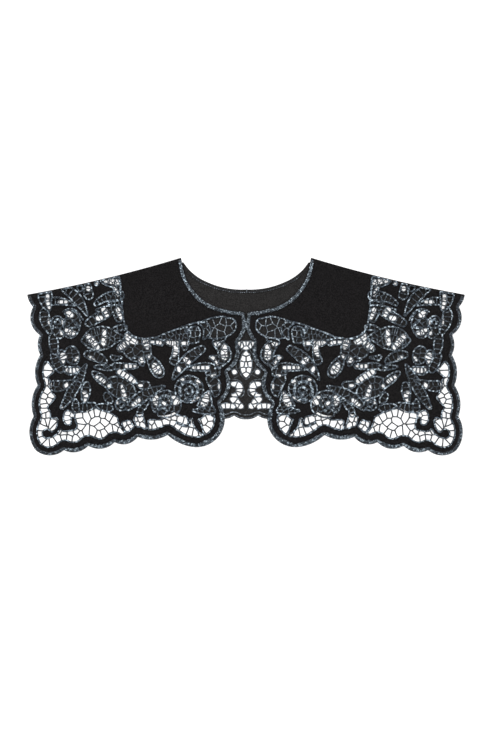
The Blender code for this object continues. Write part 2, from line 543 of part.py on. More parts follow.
def front_cells():
    """The front's net on a grid: a field that is negative where the cloth is cut away."""
    rng = np.random.default_rng(PATTERN_SEED)
    x, y = np.meshgrid(np.arange(-2, 276, GRID_STEP), np.arange(-126, 126, GRID_STEP))
    inset = -polygon_distance(x, y, front_cloth_edge())
    openings, cells = cut_openings(x, y, FRONT_OPENINGS, rng)
    cells = np.maximum(cells, OPENING_MARGIN - inset)
    margin = CORNER_MARGIN + (GROUND_MARGIN - CORNER_MARGIN) * np.clip((250 - x) / 25, 0, 1)
    ground = np.maximum(polygon_distance(x, y, list(FRONT_GROUND)), margin - inset)
    seeds = rim_seeds(x, y, ground, rng)
    ground_net = np.maximum(ground, BAR_WIDTH / 2 - bar_distance(x, y, seeds))
    cells = np.minimum(cells, np.maximum(ground_net, BAR_WIDTH / 2 - openings))
    for row in FRONT_STEMS:
        cells = np.maximum(cells, -stroke_distance(x, y, *spine_of(row)))
    for row in FRONT_SCROLLS:
        cells = np.maximum(cells, -scroll_distance(x, y, row))
    return x, y, np.maximum(cells, FOLD_CLEAR - to_fold(x, y)[1])


def back_cells():
    """The back's net on a grid over both halves."""
    rng = np.random.default_rng(PATTERN_SEED)
    x, y = np.meshgrid(np.arange(0, 276, GRID_STEP), np.arange(-90, 126, GRID_STEP))
    cells = cut_openings(x, y, BACK_OPENINGS, rng)[1]
    cells = np.maximum(cells, FOLD_CLEAR - to_fold(x, y)[1])
    both = np.concatenate([cells[:, :0:-1], cells], axis=1)
    x_both, y_both = np.meshgrid(np.concatenate([-x[0][:0:-1], x[0]]), y[:, 0])
    return x_both, y_both, both


def trace_loops(x, y, field):
    """Closed loops round the places where the field is negative."""
    inside = field < 0
    mixed = inside[:-1, :-1].astype(int) + inside[1:, :-1] + inside[:-1, 1:] + inside[1:, 1:]
    links = {}
    for i, j in zip(*np.nonzero((mixed > 0) & (mixed < 4))):
        corners = ((i, j), (i, j + 1), (i + 1, j + 1), (i + 1, j))
        turns = [(a, b) for a, b in zip(corners, corners[1:] + corners[:1]) if inside[a] != inside[b]]
        for k, (a, b) in enumerate(turns):
            if inside[a]:
                links[frozenset((a, b))] = frozenset(turns[k - 1])
    loops = []
    while links:
        key, following = links.popitem()
        loop = [key]
        while following != key:
            loop.append(following)
            following = links.pop(following)
        loops.append([crossing(x, y, field, tuple(pair)) for pair in loop])
    return loops


def crossing(x, y, field, pair):
    """The place between two grid points where the field is zero."""
    a, b = pair
    t = field[a] / (field[a] - field[b])
    return (x[a] + t * (x[b] - x[a]), y[a] + t * (y[b] - y[a]))


def straighten(points, tolerance):
    """The points of an open path that its shape needs."""
    if len(points) < 3:
        return points
    path = np.array(points)
    chord = path[-1] - path[0]
    length = max(np.hypot(*chord), 1e-9)
    off = np.abs(chord[0] * (path[:, 1] - path[0, 1]) - chord[1] * (path[:, 0] - path[0, 0])) / length
    far = int(off.argmax())
    if off[far] < tolerance:
        return [points[0], points[-1]]
    return straighten(points[:far + 1], tolerance)[:-1] + straighten(points[far:], tolerance)


def simple_loop(loop, tolerance):
    """A closed loop with only the points that its shape needs."""
    path = np.array(loop)
    start = int(np.hypot(*(path - path.mean(axis=0)).T).argmax())
    turned = loop[start:] + loop[:start]
    far = int(np.hypot(*(np.array(turned) - turned[0]).T).argmax())
    first = straighten(turned[:far + 1], tolerance)
    return first[:-1] + straighten(turned[far:] + turned[:1], tolerance)[:-1]


def gap_width(loop):
    """The width of a gap: four times its area over its perimeter."""
    path = np.array(loop)
    ahead = np.roll(path, -1, axis=0)
    area = abs(np.sum(path[:, 0] * ahead[:, 1] - path[:, 1] * ahead[:, 0])) / 2
    return 4 * area / np.hypot(*(ahead - path).T).sum()


def gap_loops(x, y, field, limit):
    """The gaps that are wide enough to be cut through, the widest first, up to a limit."""
    loops = [simple_loop(loop, LOOP_TOLERANCE) for loop in trace_loops(x, y, field)]
    wide = [loop for loop in loops if len(loop) > 2 and gap_width(loop) > SMALLEST_GAP]
    return sorted(wide, key=gap_width, reverse=True)[:limit]


def inset_path(path, width):
    """A path beside another, offset to its left."""
    points = []
    for i, (x, y) in enumerate(path):
        before = Vector(path[i]) - Vector(path[i - 1]) if i else None
        after = Vector(path[i + 1]) - Vector(path[i]) if i + 1 < len(path) else None
        sides = [Vector((-d.y, d.x)).normalized() for d in (before, after) if d is not None]
        side = sum(sides, Vector((0, 0))).normalized()
        reach = width / max(side.dot(sides[0]), 0.7)
        points.append((x + side.x * reach, y + side.y * reach))
    return points


def flat_sheet(name, outline, holes, thickness):
    """A closed mesh of a flat shape with holes, from a filled two-dimensional curve."""
    curve = bpy.data.curves.new(name, "CURVE")
    curve.dimensions = "2D"
    curve.fill_mode = "BOTH"
    curve.extrude = thickness / 2
    for loop in [outline] + holes:
        spline = curve.splines.new("POLY")
        spline.points.add(len(loop) - 1)
        for point, (px, py) in zip(spline.points, loop):
            point.co = (px, py, 0, 1)
        spline.use_cyclic_u = True
    drawn = bpy.data.objects.new(name, curve)
    bpy.context.scene.collection.objects.link(drawn)
    depsgraph = bpy.context.evaluated_depsgraph_get()
    mesh = bpy.data.meshes.new_from_object(drawn.evaluated_get(depsgraph))
    bpy.data.objects.remove(drawn)
    shape = bmesh.new()
    shape.from_mesh(mesh)
    bmesh.ops.remove_doubles(shape, verts=shape.verts, dist=0.001)
    bpy.data.meshes.remove(mesh)
    return shape


def fold_lines():
    """Distances in from the fold, along the cloth, where a folded panel bends."""
    roll = [FOLD_RADIUS * (1 - math.pi * i / FOLD_ROLL_STEPS) for i in range(FOLD_ROLL_STEPS)]
    relax = [FOLD_RADIUS + FOLD_RELAX * i / FOLD_RELAX_STEPS for i in range(1, FOLD_RELAX_STEPS + 1)]
    return roll + relax


def fold_profile(along_cloth):
    """Distance in from the fold, height of the cloth's middle, and its upward direction there."""
    top = CLOTH / 2 + 2 * FOLD_RADIUS
    if along_cloth < FOLD_RADIUS:
        turn = (FOLD_RADIUS - along_cloth) / FOLD_RADIUS
        inwards = FOLD_RADIUS * (1 - math.sin(turn))
        return inwards, CLOTH / 2 + FOLD_RADIUS * (1 + math.cos(turn)), -math.sin(turn), math.cos(turn)
    t = min((along_cloth - FOLD_RADIUS) / FOLD_RELAX, 1)
    height = FRONT_MID + (top - FRONT_MID) * (1 - t * t * (3 - 2 * t))
    slope = -(top - FRONT_MID) * 6 * t * (1 - t) / FOLD_RELAX
    size = math.hypot(slope, 1)
    return along_cloth, height, -slope / size, 1 / size


def fold_over(shape, lift):
    """Bends a panel that is drawn along the fold, its middle lifted off the cloth's middle."""
    for line in fold_lines():
        geometry = shape.verts[:] + shape.edges[:] + shape.faces[:]
        bmesh.ops.bisect_plane(shape, geom=geometry, dist=1e-4, plane_co=(0, line, 0), plane_no=(0, 1, 0))
    bmesh.ops.triangulate(shape, faces=shape.faces)
    for vertex in shape.verts:
        u, along_cloth, height = vertex.co
        inwards, middle, lean, rise = fold_profile(along_cloth)
        off = height + lift
        x, y = from_fold(u, inwards + lean * off)
        vertex.co = (x, y, middle + rise * off)


def finish(name, shape, side, material, collection):
    """An object in metres from a shape in millimetres, on one side of the centre line."""
    for vertex in shape.verts:
        vertex.co = Vector((vertex.co.x * side, vertex.co.y, vertex.co.z)) * MM
    bmesh.ops.triangulate(shape, faces=shape.faces)
    bmesh.ops.recalc_face_normals(shape, faces=shape.faces)
    mesh = bpy.data.meshes.new(name)
    shape.to_mesh(mesh)
    shape.free()
    mesh.materials.append(material)
    part = bpy.data.objects.new(name, mesh)
    collection.objects.link(part)
    return part


def surface(name, colour, roughness):
    material = bpy.data.materials.new(name)
    material.use_nodes = True
    shader = material.node_tree.nodes["Principled BSDF"]
    shader.inputs["Base Color"].default_value = (*colour, 1)
    shader.inputs["Roughness"].default_value = roughness
    shader.inputs["Metallic"].default_value = 0
    return material


def front_outline(path):
    """A front's outline along the fold: its edge, then the hidden part that rolls to the seam."""
    seam = FOLD_RADIUS * (1 - math.pi)
    edge = [to_fold(x, y) for x, y in path]
    edge = [point for point in edge if point[1] > FOLD_RADIUS]
    tip, neck = edge[0][0], edge[-1][0]
    steps = 2 * ARC_STEPS
    return edge + [(neck + (tip - neck) * i / steps, seam) for i in range(steps + 1)]


def make_front(side, name, holes, material, collection):
    holes = [[to_fold(x, y) for x, y in hole] for hole in holes]
    shape = flat_sheet(name, front_outline(front_edge()), holes, CLOTH)
    fold_over(shape, 0.0)
    return finish(name, shape, side, material, collection)


def make_edge_trim(side, name, material, collection):
    """The glitter trim on a front's edge, from the shoulder's tip to the neck."""
    over_fold = FOLD_RADIUS * (1 - math.pi / 2)
    path = [to_fold(x, y) for x, y in front_edge()]
    path = [point for point in path if point[1] > FOLD_RADIUS]
    path = [(path[0][0], over_fold)] + path + [(path[-1][0], over_fold)]
    inner = inset_path(path, TRIM_WIDTH)
    shape = flat_sheet(name, path + inner[::-1], [], TRIM_THICKNESS)
    fold_over(shape, CLOTH / 2 + LAYER_GAP + TRIM_THICKNESS / 2)
    return finish(name, shape, side, material, collection)


def make_back(holes, material, collection):
    hem = back_hem_edge()
    neck = back_neck_edge()
    steps = 2 * ARC_STEPS
    seam_in = FOLD_RADIUS + LAYER_GAP
    neck_u = to_fold(*BACK_NECK_OUTER)[0]
    tip_u = fold_frame()[0] - 3.0
    seam = [from_fold(neck_u + (tip_u - neck_u) * i / steps, seam_in) for i in range(1, steps)]
    half = neck[:-1] + seam + hem
    outline = half + [(-x, y) for x, y in half[-2:0:-1]]
    shape = flat_sheet("back", outline, holes, CLOTH)
    bmesh.ops.translate(shape, verts=shape.verts, vec=(0, 0, CLOTH / 2))
    return finish("back", shape, 1, material, collection)


def make_neck_tape(material, collection):
    """The tape on the inner face of the back's neckline."""
    half = [point for point in back_neck_edge() if point[0] < NECK_TAPE_REACH]
    path = [(-x, y) for x, y in half[:0:-1]] + half
    inner = inset_path(path[::-1], NECK_TAPE_WIDTH)
    shape = flat_sheet("back_neck_tape", path[::-1] + inner[::-1], [], NECK_TAPE_THICKNESS)
    lift = CLOTH + LAYER_GAP + NECK_TAPE_THICKNESS / 2
    bmesh.ops.translate(shape, verts=shape.verts, vec=(0, 0, lift))
    return finish("back_neck_tape", shape, 1, material, collection)


def centre_on_origin(parts):
    """Moves the collar so that the middle of its underside is the origin."""
    corners = [v.co for part in parts for v in part.data.vertices]
    low = Vector([min(c[i] for c in corners) for i in range(3)])
    high = Vector([max(c[i] for c in corners) for i in range(3)])
    for part in parts:
        part.location = Vector((-(low.x + high.x) / 2, -(low.y + high.y) / 2, -low.z))


def main():
    for old in list(bpy.data.objects):
        bpy.data.objects.remove(old)
    collection = bpy.data.collections.new("cutwork_collar")
    bpy.context.scene.collection.children.link(collection)
    cloth = surface("black_cloth", (0.013, 0.012, 0.013), 0.95)
    lining_side = surface("black_cloth_inner_face", (0.028, 0.026, 0.026), 0.95)
    glitter = surface("glitter_trim", (0.075, 0.1, 0.13), 0.5)
    tape = surface("neck_tape", (0.035, 0.035, 0.037), 0.9)

    front_holes = gap_loops(*front_cells(), FRONT_GAP_LIMIT)
    back_holes = gap_loops(*back_cells(), BACK_GAP_LIMIT)
    parts = [make_back(back_holes, lining_side, collection), make_neck_tape(tape, collection)]
    for side, word in ((-1, "left"), (1, "right")):
        parts.append(make_front(side, "front_" + word, front_holes, cloth, collection))
        parts.append(make_edge_trim(side, "edge_trim_" + word, glitter, collection))
    centre_on_origin(parts)


main()
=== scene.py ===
"""A cutwork lace collar laid flat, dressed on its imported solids.

Sizes in the tables and in the drawing functions are millimetres in the plane that the collar
lies on: "out" from the centre line, "up" to the neck. The scene is in metres, with x to the
collar's own side, y up and z off the floor.
"""
import math

import bmesh
import bpy
import numpy as np
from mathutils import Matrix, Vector
from mathutils.geometry import delaunay_2d_cdt


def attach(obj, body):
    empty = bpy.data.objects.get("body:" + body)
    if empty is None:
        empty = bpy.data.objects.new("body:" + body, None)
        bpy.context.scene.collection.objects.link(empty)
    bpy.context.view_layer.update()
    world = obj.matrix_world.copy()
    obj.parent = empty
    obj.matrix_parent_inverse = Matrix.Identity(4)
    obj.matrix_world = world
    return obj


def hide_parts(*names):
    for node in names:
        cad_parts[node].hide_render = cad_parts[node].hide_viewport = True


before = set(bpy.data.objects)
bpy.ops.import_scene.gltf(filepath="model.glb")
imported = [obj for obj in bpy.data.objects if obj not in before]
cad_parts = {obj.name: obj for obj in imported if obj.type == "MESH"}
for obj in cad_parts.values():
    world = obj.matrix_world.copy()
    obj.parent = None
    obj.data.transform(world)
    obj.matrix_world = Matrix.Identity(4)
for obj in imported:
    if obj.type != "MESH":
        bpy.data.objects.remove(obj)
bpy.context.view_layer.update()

MM = 0.001

# Where the drawing lies in the scene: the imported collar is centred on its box
UP_SHIFT = -0.53

# The cloth and its layers
CLOTH = 1.2
LAYER_GAP = 0.3
FRONT_MID = CLOTH + LAYER_GAP + CLOTH / 2
SHELL = 0.95
NECK_TAPE_WIDTH = 3.8
NECK_TAPE_REACH = 72.0

# The shoulder fold runs from the neck to the shoulder's tip, and sags a little between them
NECK_POINT = (81.5, 123.5)
SHOULDER_TIP = (274.2, 77.2)
FOLD_LENGTH = math.dist(NECK_POINT, SHOULDER_TIP)
FOLD_OUT = (SHOULDER_TIP[0] - NECK_POINT[0]) / FOLD_LENGTH
FOLD_UP = (SHOULDER_TIP[1] - NECK_POINT[1]) / FOLD_LENGTH
FOLD_SAG = 3.0
FOLD_RADIUS = 1.9
FOLD_RELAX = 25.0
FOLD_CLEAR = 2.1
OVER_FOLD = 30.0

# The seam under the fold: how far in from the fold the back ends, and how far round it the front does
SEAM_INWARDS = FOLD_RADIUS + LAYER_GAP
FRONT_SEAM = FOLD_RADIUS * (1 - math.pi)
TIP_SHORT = 3.0

# The cutwork, as the solids are cut: how far it stays from the edge, and how its nets are spaced
OPENING_MARGIN = 10.0
GROUND_MARGIN = 13.2
CORNER_MARGIN = 10.4
GROUND_PITCH = 9.5
GROUND_RIM = 4.3
GROUND_BOX = ((20, -122), (276, -2))
MEETING = 1.3
SHORTEST_BAR = 0.4
SHORTEST_LOOP = 3.5
PATTERN_SEED = 7

# How finely it is drawn
GRID_STEP = 0.5
LOOP_TOLERANCE = 0.07
ARC_STEPS = 14
FAR = 99.0
STROKE_REACH = 22

# The dressed cloth: its points' spacing, their clearance from edges, and how it sinks and ripples
CLOTH_POINT = 3.0
ROLL_POINT = 0.75
ROW_STEP = 0.87
CLEAR = 0.9
DROOP = 1.35
DROOP_REACH = 9.0
RIPPLE = 0.55

# The threads: net bars by radius, twisted cords by strand and twist, and their lifts off a cloth's middle
NET_RADIUS = 0.66
FAN_NET_RADIUS = 0.5
GROUND_NET_RADIUS = 0.85
BACK_NET_RADIUS = 0.95
NET_POINT = 1.6
NET_LIFT = 0.05
CORD_STRAND = 0.72
CORD_TWIST = 2.8
CORD_OFFSET = 0.45
CORD_POINT = 0.62
CORD_LIFT = SHELL / 2 + 0.4
SEAM_LIFT = 0.35
LINE_LIFT = SHELL / 2 + 0.45
BACK_CORD = 0.8
BACK_SEAM_CORD = 0.6
BACK_CORD_LIFT = SHELL / 2 + 0.2
HEM_STRAND = 0.42
LINE_STRAND = 0.32
FINE_TWIST = 2.4
STITCH = 0.36
CENTRE_TACK = 0.5
TAPE_LIFT = 1.7

# The fan below the neck lies further in and further up than this
FAN_PLACE = (64, 24)

# The trim: its loops in rows (width, pitch, lift, seed), over a band (distance in, lift) across it
TRIM_THREAD = 0.38
TRIM_TAPER = 9.0
LOOP_POINTS = 9
LOOP_SWING = 0.75
LOOP_RISE = 0.28
TRIM_ROWS = ((4.9, 1.55, 1.25, 11), (4.4, 2.1, 1.55, 12), (4.7, 1.85, 1.7, 13))
BAND_POINT = 1.1
BAND_SECTION = ((0.35, 0.42), (0.55, 0.85), (2.3, 1.05), (4.05, 0.85), (4.3, 0.42))

# A wave texture's period at scale 1, in thousandths of its unit
WAVE_PERIOD = 314.0

# Scalloped edge of a front, from the shoulder's tip round the hem to the neckline:
# a point (out, up), and the crest (out, up) that the edge passes on its way to the next row
FRONT_EDGE = (
    (273.6, 74.5, 271.4, 68.5),
    (266.8, 62.3, 270.6, 48),
    (258.6, 27, 261.4, 14),
    (258.2, 2, 264.9, -17),
    (261.7, -36, 269.2, -58),
    (266.6, -75, 272.1, -95),
    (264.2, -117.6, 247, -124.2),
    (228.5, -117.6, 214, -120.3),
    (198, -112, 183, -116),
    (165, -107.6, 151, -110.2),
    (136, -100.9, 118.5, -104.5),
    (98.5, -98.6, 82, -109.4),
    (63, -114, 30.6, -94.8),
    (32.8, -58, 19.4, -38),
    (23.6, -19.5, 8, 2),
    (10.5, 18.5, 3.4, 27),
    (1.3, 42, 1.4, 49),
    (2.6, 56, 12, 56.4),
    (27, 59.5, 44.5, 65.3),
    (60, 76.5, 70.5, 89.5),
    (78, 106, 79.6, 114),
)

# Edge of the back, from the shoulder's tip round the hem to the centre, as above
BACK_EDGE = (
    (263.5, 61, 266.8, 48),
    (255, 27.5, 257.6, 14),
    (254.3, 2, 253, -4),
    (248, -8, 241, -18),
    (243, -31, 244, -42),
    (236, -53, 233, -60),
    (222, -66, 207, -69.5),
    (192, -64, 176, -68.5),
    (158, -67, 140, -73),
    (122, -70, 107, -74.5),
    (90, -70, 76, -75.5),
    (60, -71, 51, -73.5),
    (42, -71.5, 28, -78.3),
    (15, -74.2, 8, -78),
)
BACK_HEM_CENTRE = (0, -79)
BACK_NECK_OUTER = (79.6, 120.2)
BACK_NECK_HOLLOW = (66, 103.8)
BACK_NECK_INNER = (50, 94)
BACK_NECK_DIP = (26, 86)
BACK_NECK_CENTRE = (0, 84)

# Openings of a front: the spine's start, middle and end (out, up), the widths there, the net's pitch
# A pitch of 0 leaves a row without cells of its own: other rows of the opening put them there
FRONT_OPENINGS = (
    ("corner_fan", 252, 82, 251, 72, 248, 60, 16, 15, 6, 6.5),
    ("high_leaf", 246, 68.5, 231, 69, 214, 63.7, 7, 7.5, 0, 5.5),
    ("shoulder_leaf", 229, 84, 213.5, 74.5, 198.5, 50, 4, 11, 0, 6),
    ("shoulder_bud", 198, 89, 198, 82, 197, 77, 6, 9, 10, 6.5),
    ("shoulder_eyelet", 187, 91.5, 187, 91.5, 187, 91.5, 4.5, 4.5, 4.5, 6.5),
    ("small_bud", 209, 88, 208, 86, 207, 84, 4, 6, 4, 6.5),
    ("seam_fan", 184, 96, 172, 94, 163, 92, 1, 10, 11, 5),
    ("seam_fan", 163, 97, 162, 88, 160.5, 80, 9, 9, 4, 5),
    ("finger_high", 188, 66, 175, 74, 159, 76.5, 4, 9, 11, 5.5),
    ("finger_middle", 173, 66, 166, 66.8, 157.5, 67, 1, 3.5, 5, 4.5),
    ("finger_low", 197, 42, 185, 49, 172, 56, 8, 11, 9, 6),
    ("finger_low", 188, 58, 176, 59, 160, 60, 1, 6, 8, 6),
    ("finger_low", 164, 58, 160.5, 52, 159, 47.5, 6, 9, 8, 6),
    ("seam_leaf", 166, 34, 159, 36, 152.5, 36.5, 3, 5.5, 6, 5.5),
    ("great_leaf", 206, 20, 198, 20.5, 190, 21.5, 1, 13, 25, 7.5),
    ("great_leaf", 190, 21.5, 181, 23, 170, 24, 25, 28, 18, 7.5),
    ("great_leaf", 170, 24, 161, 24, 152, 23.5, 18, 9, 1, 7.5),
    ("side_strip", 252, 57, 252, 46, 246, 31, 8, 11, 5, 6),
    ("bud_round", 221, 50, 218, 42, 220, 31, 15, 20, 15, 6.5),
    ("bud_ring", 237, 44, 236, 43, 235, 42, 12, 14, 12, 6.5),
    ("bud_drop", 238, 33, 236, 30, 233, 27, 8, 10, 8, 6.5),
    ("side_slot", 242, 25, 241, 15, 240, 6, 8, 10, 7, 6.5),
    ("petal_top", 219, 6, 218, 1, 216, -4, 13, 17, 11, 6),
    ("petal_left", 241, 1, 238, -7, 233, -16, 7, 9, 8, 6.5),
    ("petal_gap", 231, 5, 230, -1, 229, -9, 6, 8, 2, 5.5),
    ("petal_low", 226, -16.5, 219, -18, 211, -15.5, 6, 9, 5, 5),
    ("side_wedge", 240, -37, 229, -36, 212, -29, 12, 10, 0, 6),
    ("long_leaf", 200, -9, 215, -38.5, 232.5, -67, 0, 11.5, 1, 5),
    ("hip_oval", 200, -36, 201, -45, 202.5, -55, 7, 10, 5, 6),
    ("hip_leaf", 214, -54, 213.5, -61, 213, -67, 1, 7.5, 7, 6),
    ("hip_fan", 206, -64, 198, -63.5, 190, -60, 9, 10, 3, 6),
    ("tongue", 199, 2.5, 188, 0, 177, -6, 7, 11, 5, 6.5),
    ("tongue_low", 190, -13, 179, -13.5, 169, -14, 1, 5.5, 6, 5.5),
    ("bean", 191, -21, 182, -28, 172, -37, 4, 9.5, 6, 6),
    ("field_eye", 168, 0, 163, -3, 157, -3, 3, 6, 5, 5),
    ("yoke_band", 157, 10, 149, 19, 148, 27, 8, 9, 6, 6),
    ("yoke_band", 146, 24, 139, 20, 128, 18, 7, 8, 7, 7.5),
    ("yoke_band", 150, 16, 141, 9, 136, 2, 10, 24, 14, 7.5),
    ("yoke_band", 125, 16.5, 124, 6, 122, -1, 9, 9, 5, 5.5),
    ("yoke_band", 131, -1, 131, -6, 129.5, -11, 6, 7, 2, 6),
    ("yoke_band", 124, 19, 116, 19.5, 106, 17, 5, 7, 6, 6),
    ("yoke_band", 110, 23.5, 95, 25.5, 77, 28.5, 2, 10, 15, 5.5),
    ("yoke_band", 100, 19, 94, 17.5, 88, 18, 3, 8, 7, 5.5),
    ("yoke_band", 88, 17, 88, 5, 90, -5, 7, 7, 10, 6),
    ("yoke_band", 77, 21, 77, 15, 77, 9, 9, 8, 2, 5.5),
    ("yoke_end", 78, 29.5, 66, 28, 54, 33.5, 15, 22, 19, 7),
    ("shelf", 166, -12, 152, -12.5, 138, -12.5, 7, 7, 4, 5.5),
    ("ladder", 158.5, -19.5, 149.5, -25, 140.5, -31, 7, 7.5, 6, 5.5),
    ("dark_field", 172, -34, 160, -38, 146, -45, 6, 24, 14, 6.5),
    ("dark_leaf", 175, -48, 173, -52, 170, -56, 5, 8, 5, 6.5),
    ("scroll_fan", 186, -62, 177, -64, 170, -65, 3, 8.5, 6, 6),
    ("scroll_eye", 156, -60, 156, -60, 156, -60, 15, 15, 15, 6.5),
    ("feather", 148, -66, 131, -50.5, 101, -37, 3, 12, 0, 6),
    ("feather_low", 133.5, -73, 128.5, -63, 119, -52, 6, 6.5, 0, 6),
    ("flower", 102, -59.5, 100, -60, 97, -60.5, 32, 33, 30, 6.5),
    ("rosette", 73, -41, 71.5, -41, 70, -41, 31, 33, 32, 6.5),
    ("edge_net", 45, -28, 39, -36, 38, -48, 9, 13, 5, 7.5),
    ("star_net", 47.5, -45, 50, -56, 52, -63, 3, 13, 17, 7),
    ("star_net", 67, -68, 54, -66, 42, -67, 0, 11, 8, 7),
    ("fan", 55, 35.5, 38, 35.5, 23.5, 38.6, 14, 26, 21.5, 9),
    ("fan", 30, 43, 24, 42.9, 17.9, 42.5, 9, 8.5, 8.5, 0),
    ("fan_point", 33, 26, 31, 24, 29, 22.5, 12, 9, 6, 20),
    ("knob", 133, -35, 129, -36, 125, -36, 7, 9, 8, 6.5),
    ("pod", 119, -4, 113.5, -13, 109, -20, 8, 14, 12, 6.5),
    ("slant_leaf", 92, -30, 76.5, -7, 55, 9.5, 0, 12, 7, 6.5),
    ("edge_crescent", 38, 17.5, 27, 5, 29, -11, 7, 14.5, 11, 7),
    ("edge_crescent", 44, -1.5, 38, -4.5, 33, -9, 3, 9, 9, 7),
    ("low_leaf", 76, -16, 58, -13.5, 43, -13.5, 0, 8.5, 8, 6),
    ("low_fan", 49, -21, 42, -20.5, 36, -19.5, 3, 7, 9, 6.5),
    ("curl_eye", 223.5, -72.5, 224, -79, 222.5, -83, 8.5, 9, 5, 6.5),
    ("curl_eye", 220, -72, 218, -74, 216.5, -74.5, 5, 5, 3, 6.5),
)

# The open ground along the side and the hem: corners (out, up), taken past the collar's edge
FRONT_GROUND = (
    (290, -5), (249, -7), (240, -18), (250, -26), (246, -31), (244, -45), (239, -51), (250, -64),
    (246, -70), (246, -79), (238, -77), (231, -92), (222, -93), (214, -89), (213, -80), (217, -71),
    (200, -70), (191, -65), (180, -68), (171, -71), (161, -77), (157, -83), (145, -80), (138, -75),
    (134, -72), (128, -77), (123, -80), (107, -80), (101, -74), (88, -73), (72, -77), (66, -79),
    (57, -79), (50, -73), (36, -75), (20, -140), (290, -140),
)

# Stems, veins and curls that cross the openings: start, middle, end (out, up), the widths there
FRONT_STEMS = (
    ("bud_disc", 228.5, 50, 228.5, 50, 228.5, 50, 8, 8, 8),
    ("bud_curl", 217, 45, 211, 38, 219, 36, 2.5, 2.5, 2.5),
    ("ball", 250, -97, 250, -97, 250, -97, 12.5, 12.5, 12.5),
    ("ball_stem", 248, -99, 238, -94, 234, -80, 7, 6, 5),
    ("curl", 231, -68, 231.5, -88, 221, -91, 5.5, 6, 5),
    ("curl_hook", 221, -91, 214, -88, 218, -78, 5, 5, 4),
    ("stem_slant", 159, -78, 155, -90, 148, -97, 5.5, 3.8, 1.5),
    ("stem_two", 143, -74, 141, -84, 133, -95, 6.5, 4.5, 1.5),
    ("stem_three", 126, -70, 125, -80, 123, -94, 8, 6, 2),
    ("spike", 65, -77, 60, -88, 52, -99.5, 5, 9.5, 0),
    ("tendril", 73, -74, 73, -86.5, 87, -83, 4, 3.5, 2.5),
    ("flower_arm", 113, -74, 107, -64, 99, -68, 4, 3, 2.5),
    ("cane", 63, 39.5, 55.5, 33, 58, 17, 4, 5.5, 5),
    ("cane_hook", 73.5, 30, 72.5, 36.5, 63, 39.5, 2.5, 3.5, 4),
    ("crescent_tip", 56, -2, 45, -4, 38, -12, 1, 3, 2),
    ("star_leaf", 70, -64, 61, -64.5, 54, -60, 4, 3.5, 0),
    ("field_leaf", 176, -14, 160, -5, 138, -2, 2, 4, 0),
)

# Round scrolls that cross the openings: centre (out, up), radius, from and to angle in degrees, width
FRONT_SCROLLS = (
    ("flower_scroll", 101, -57.5, 8, -60, 230, 3.0),
    ("rosette_scroll", 72, -43, 11.5, -30, 290, 2.8),
    ("rosette_heart", 71, -43, 4.5, 0, 300, 2.2),
    ("ring_curl", 236, 43, 3.5, -40, 200, 2.0),
    ("scroll_curl", 156, -60, 3.5, 30, 300, 2.0),
)

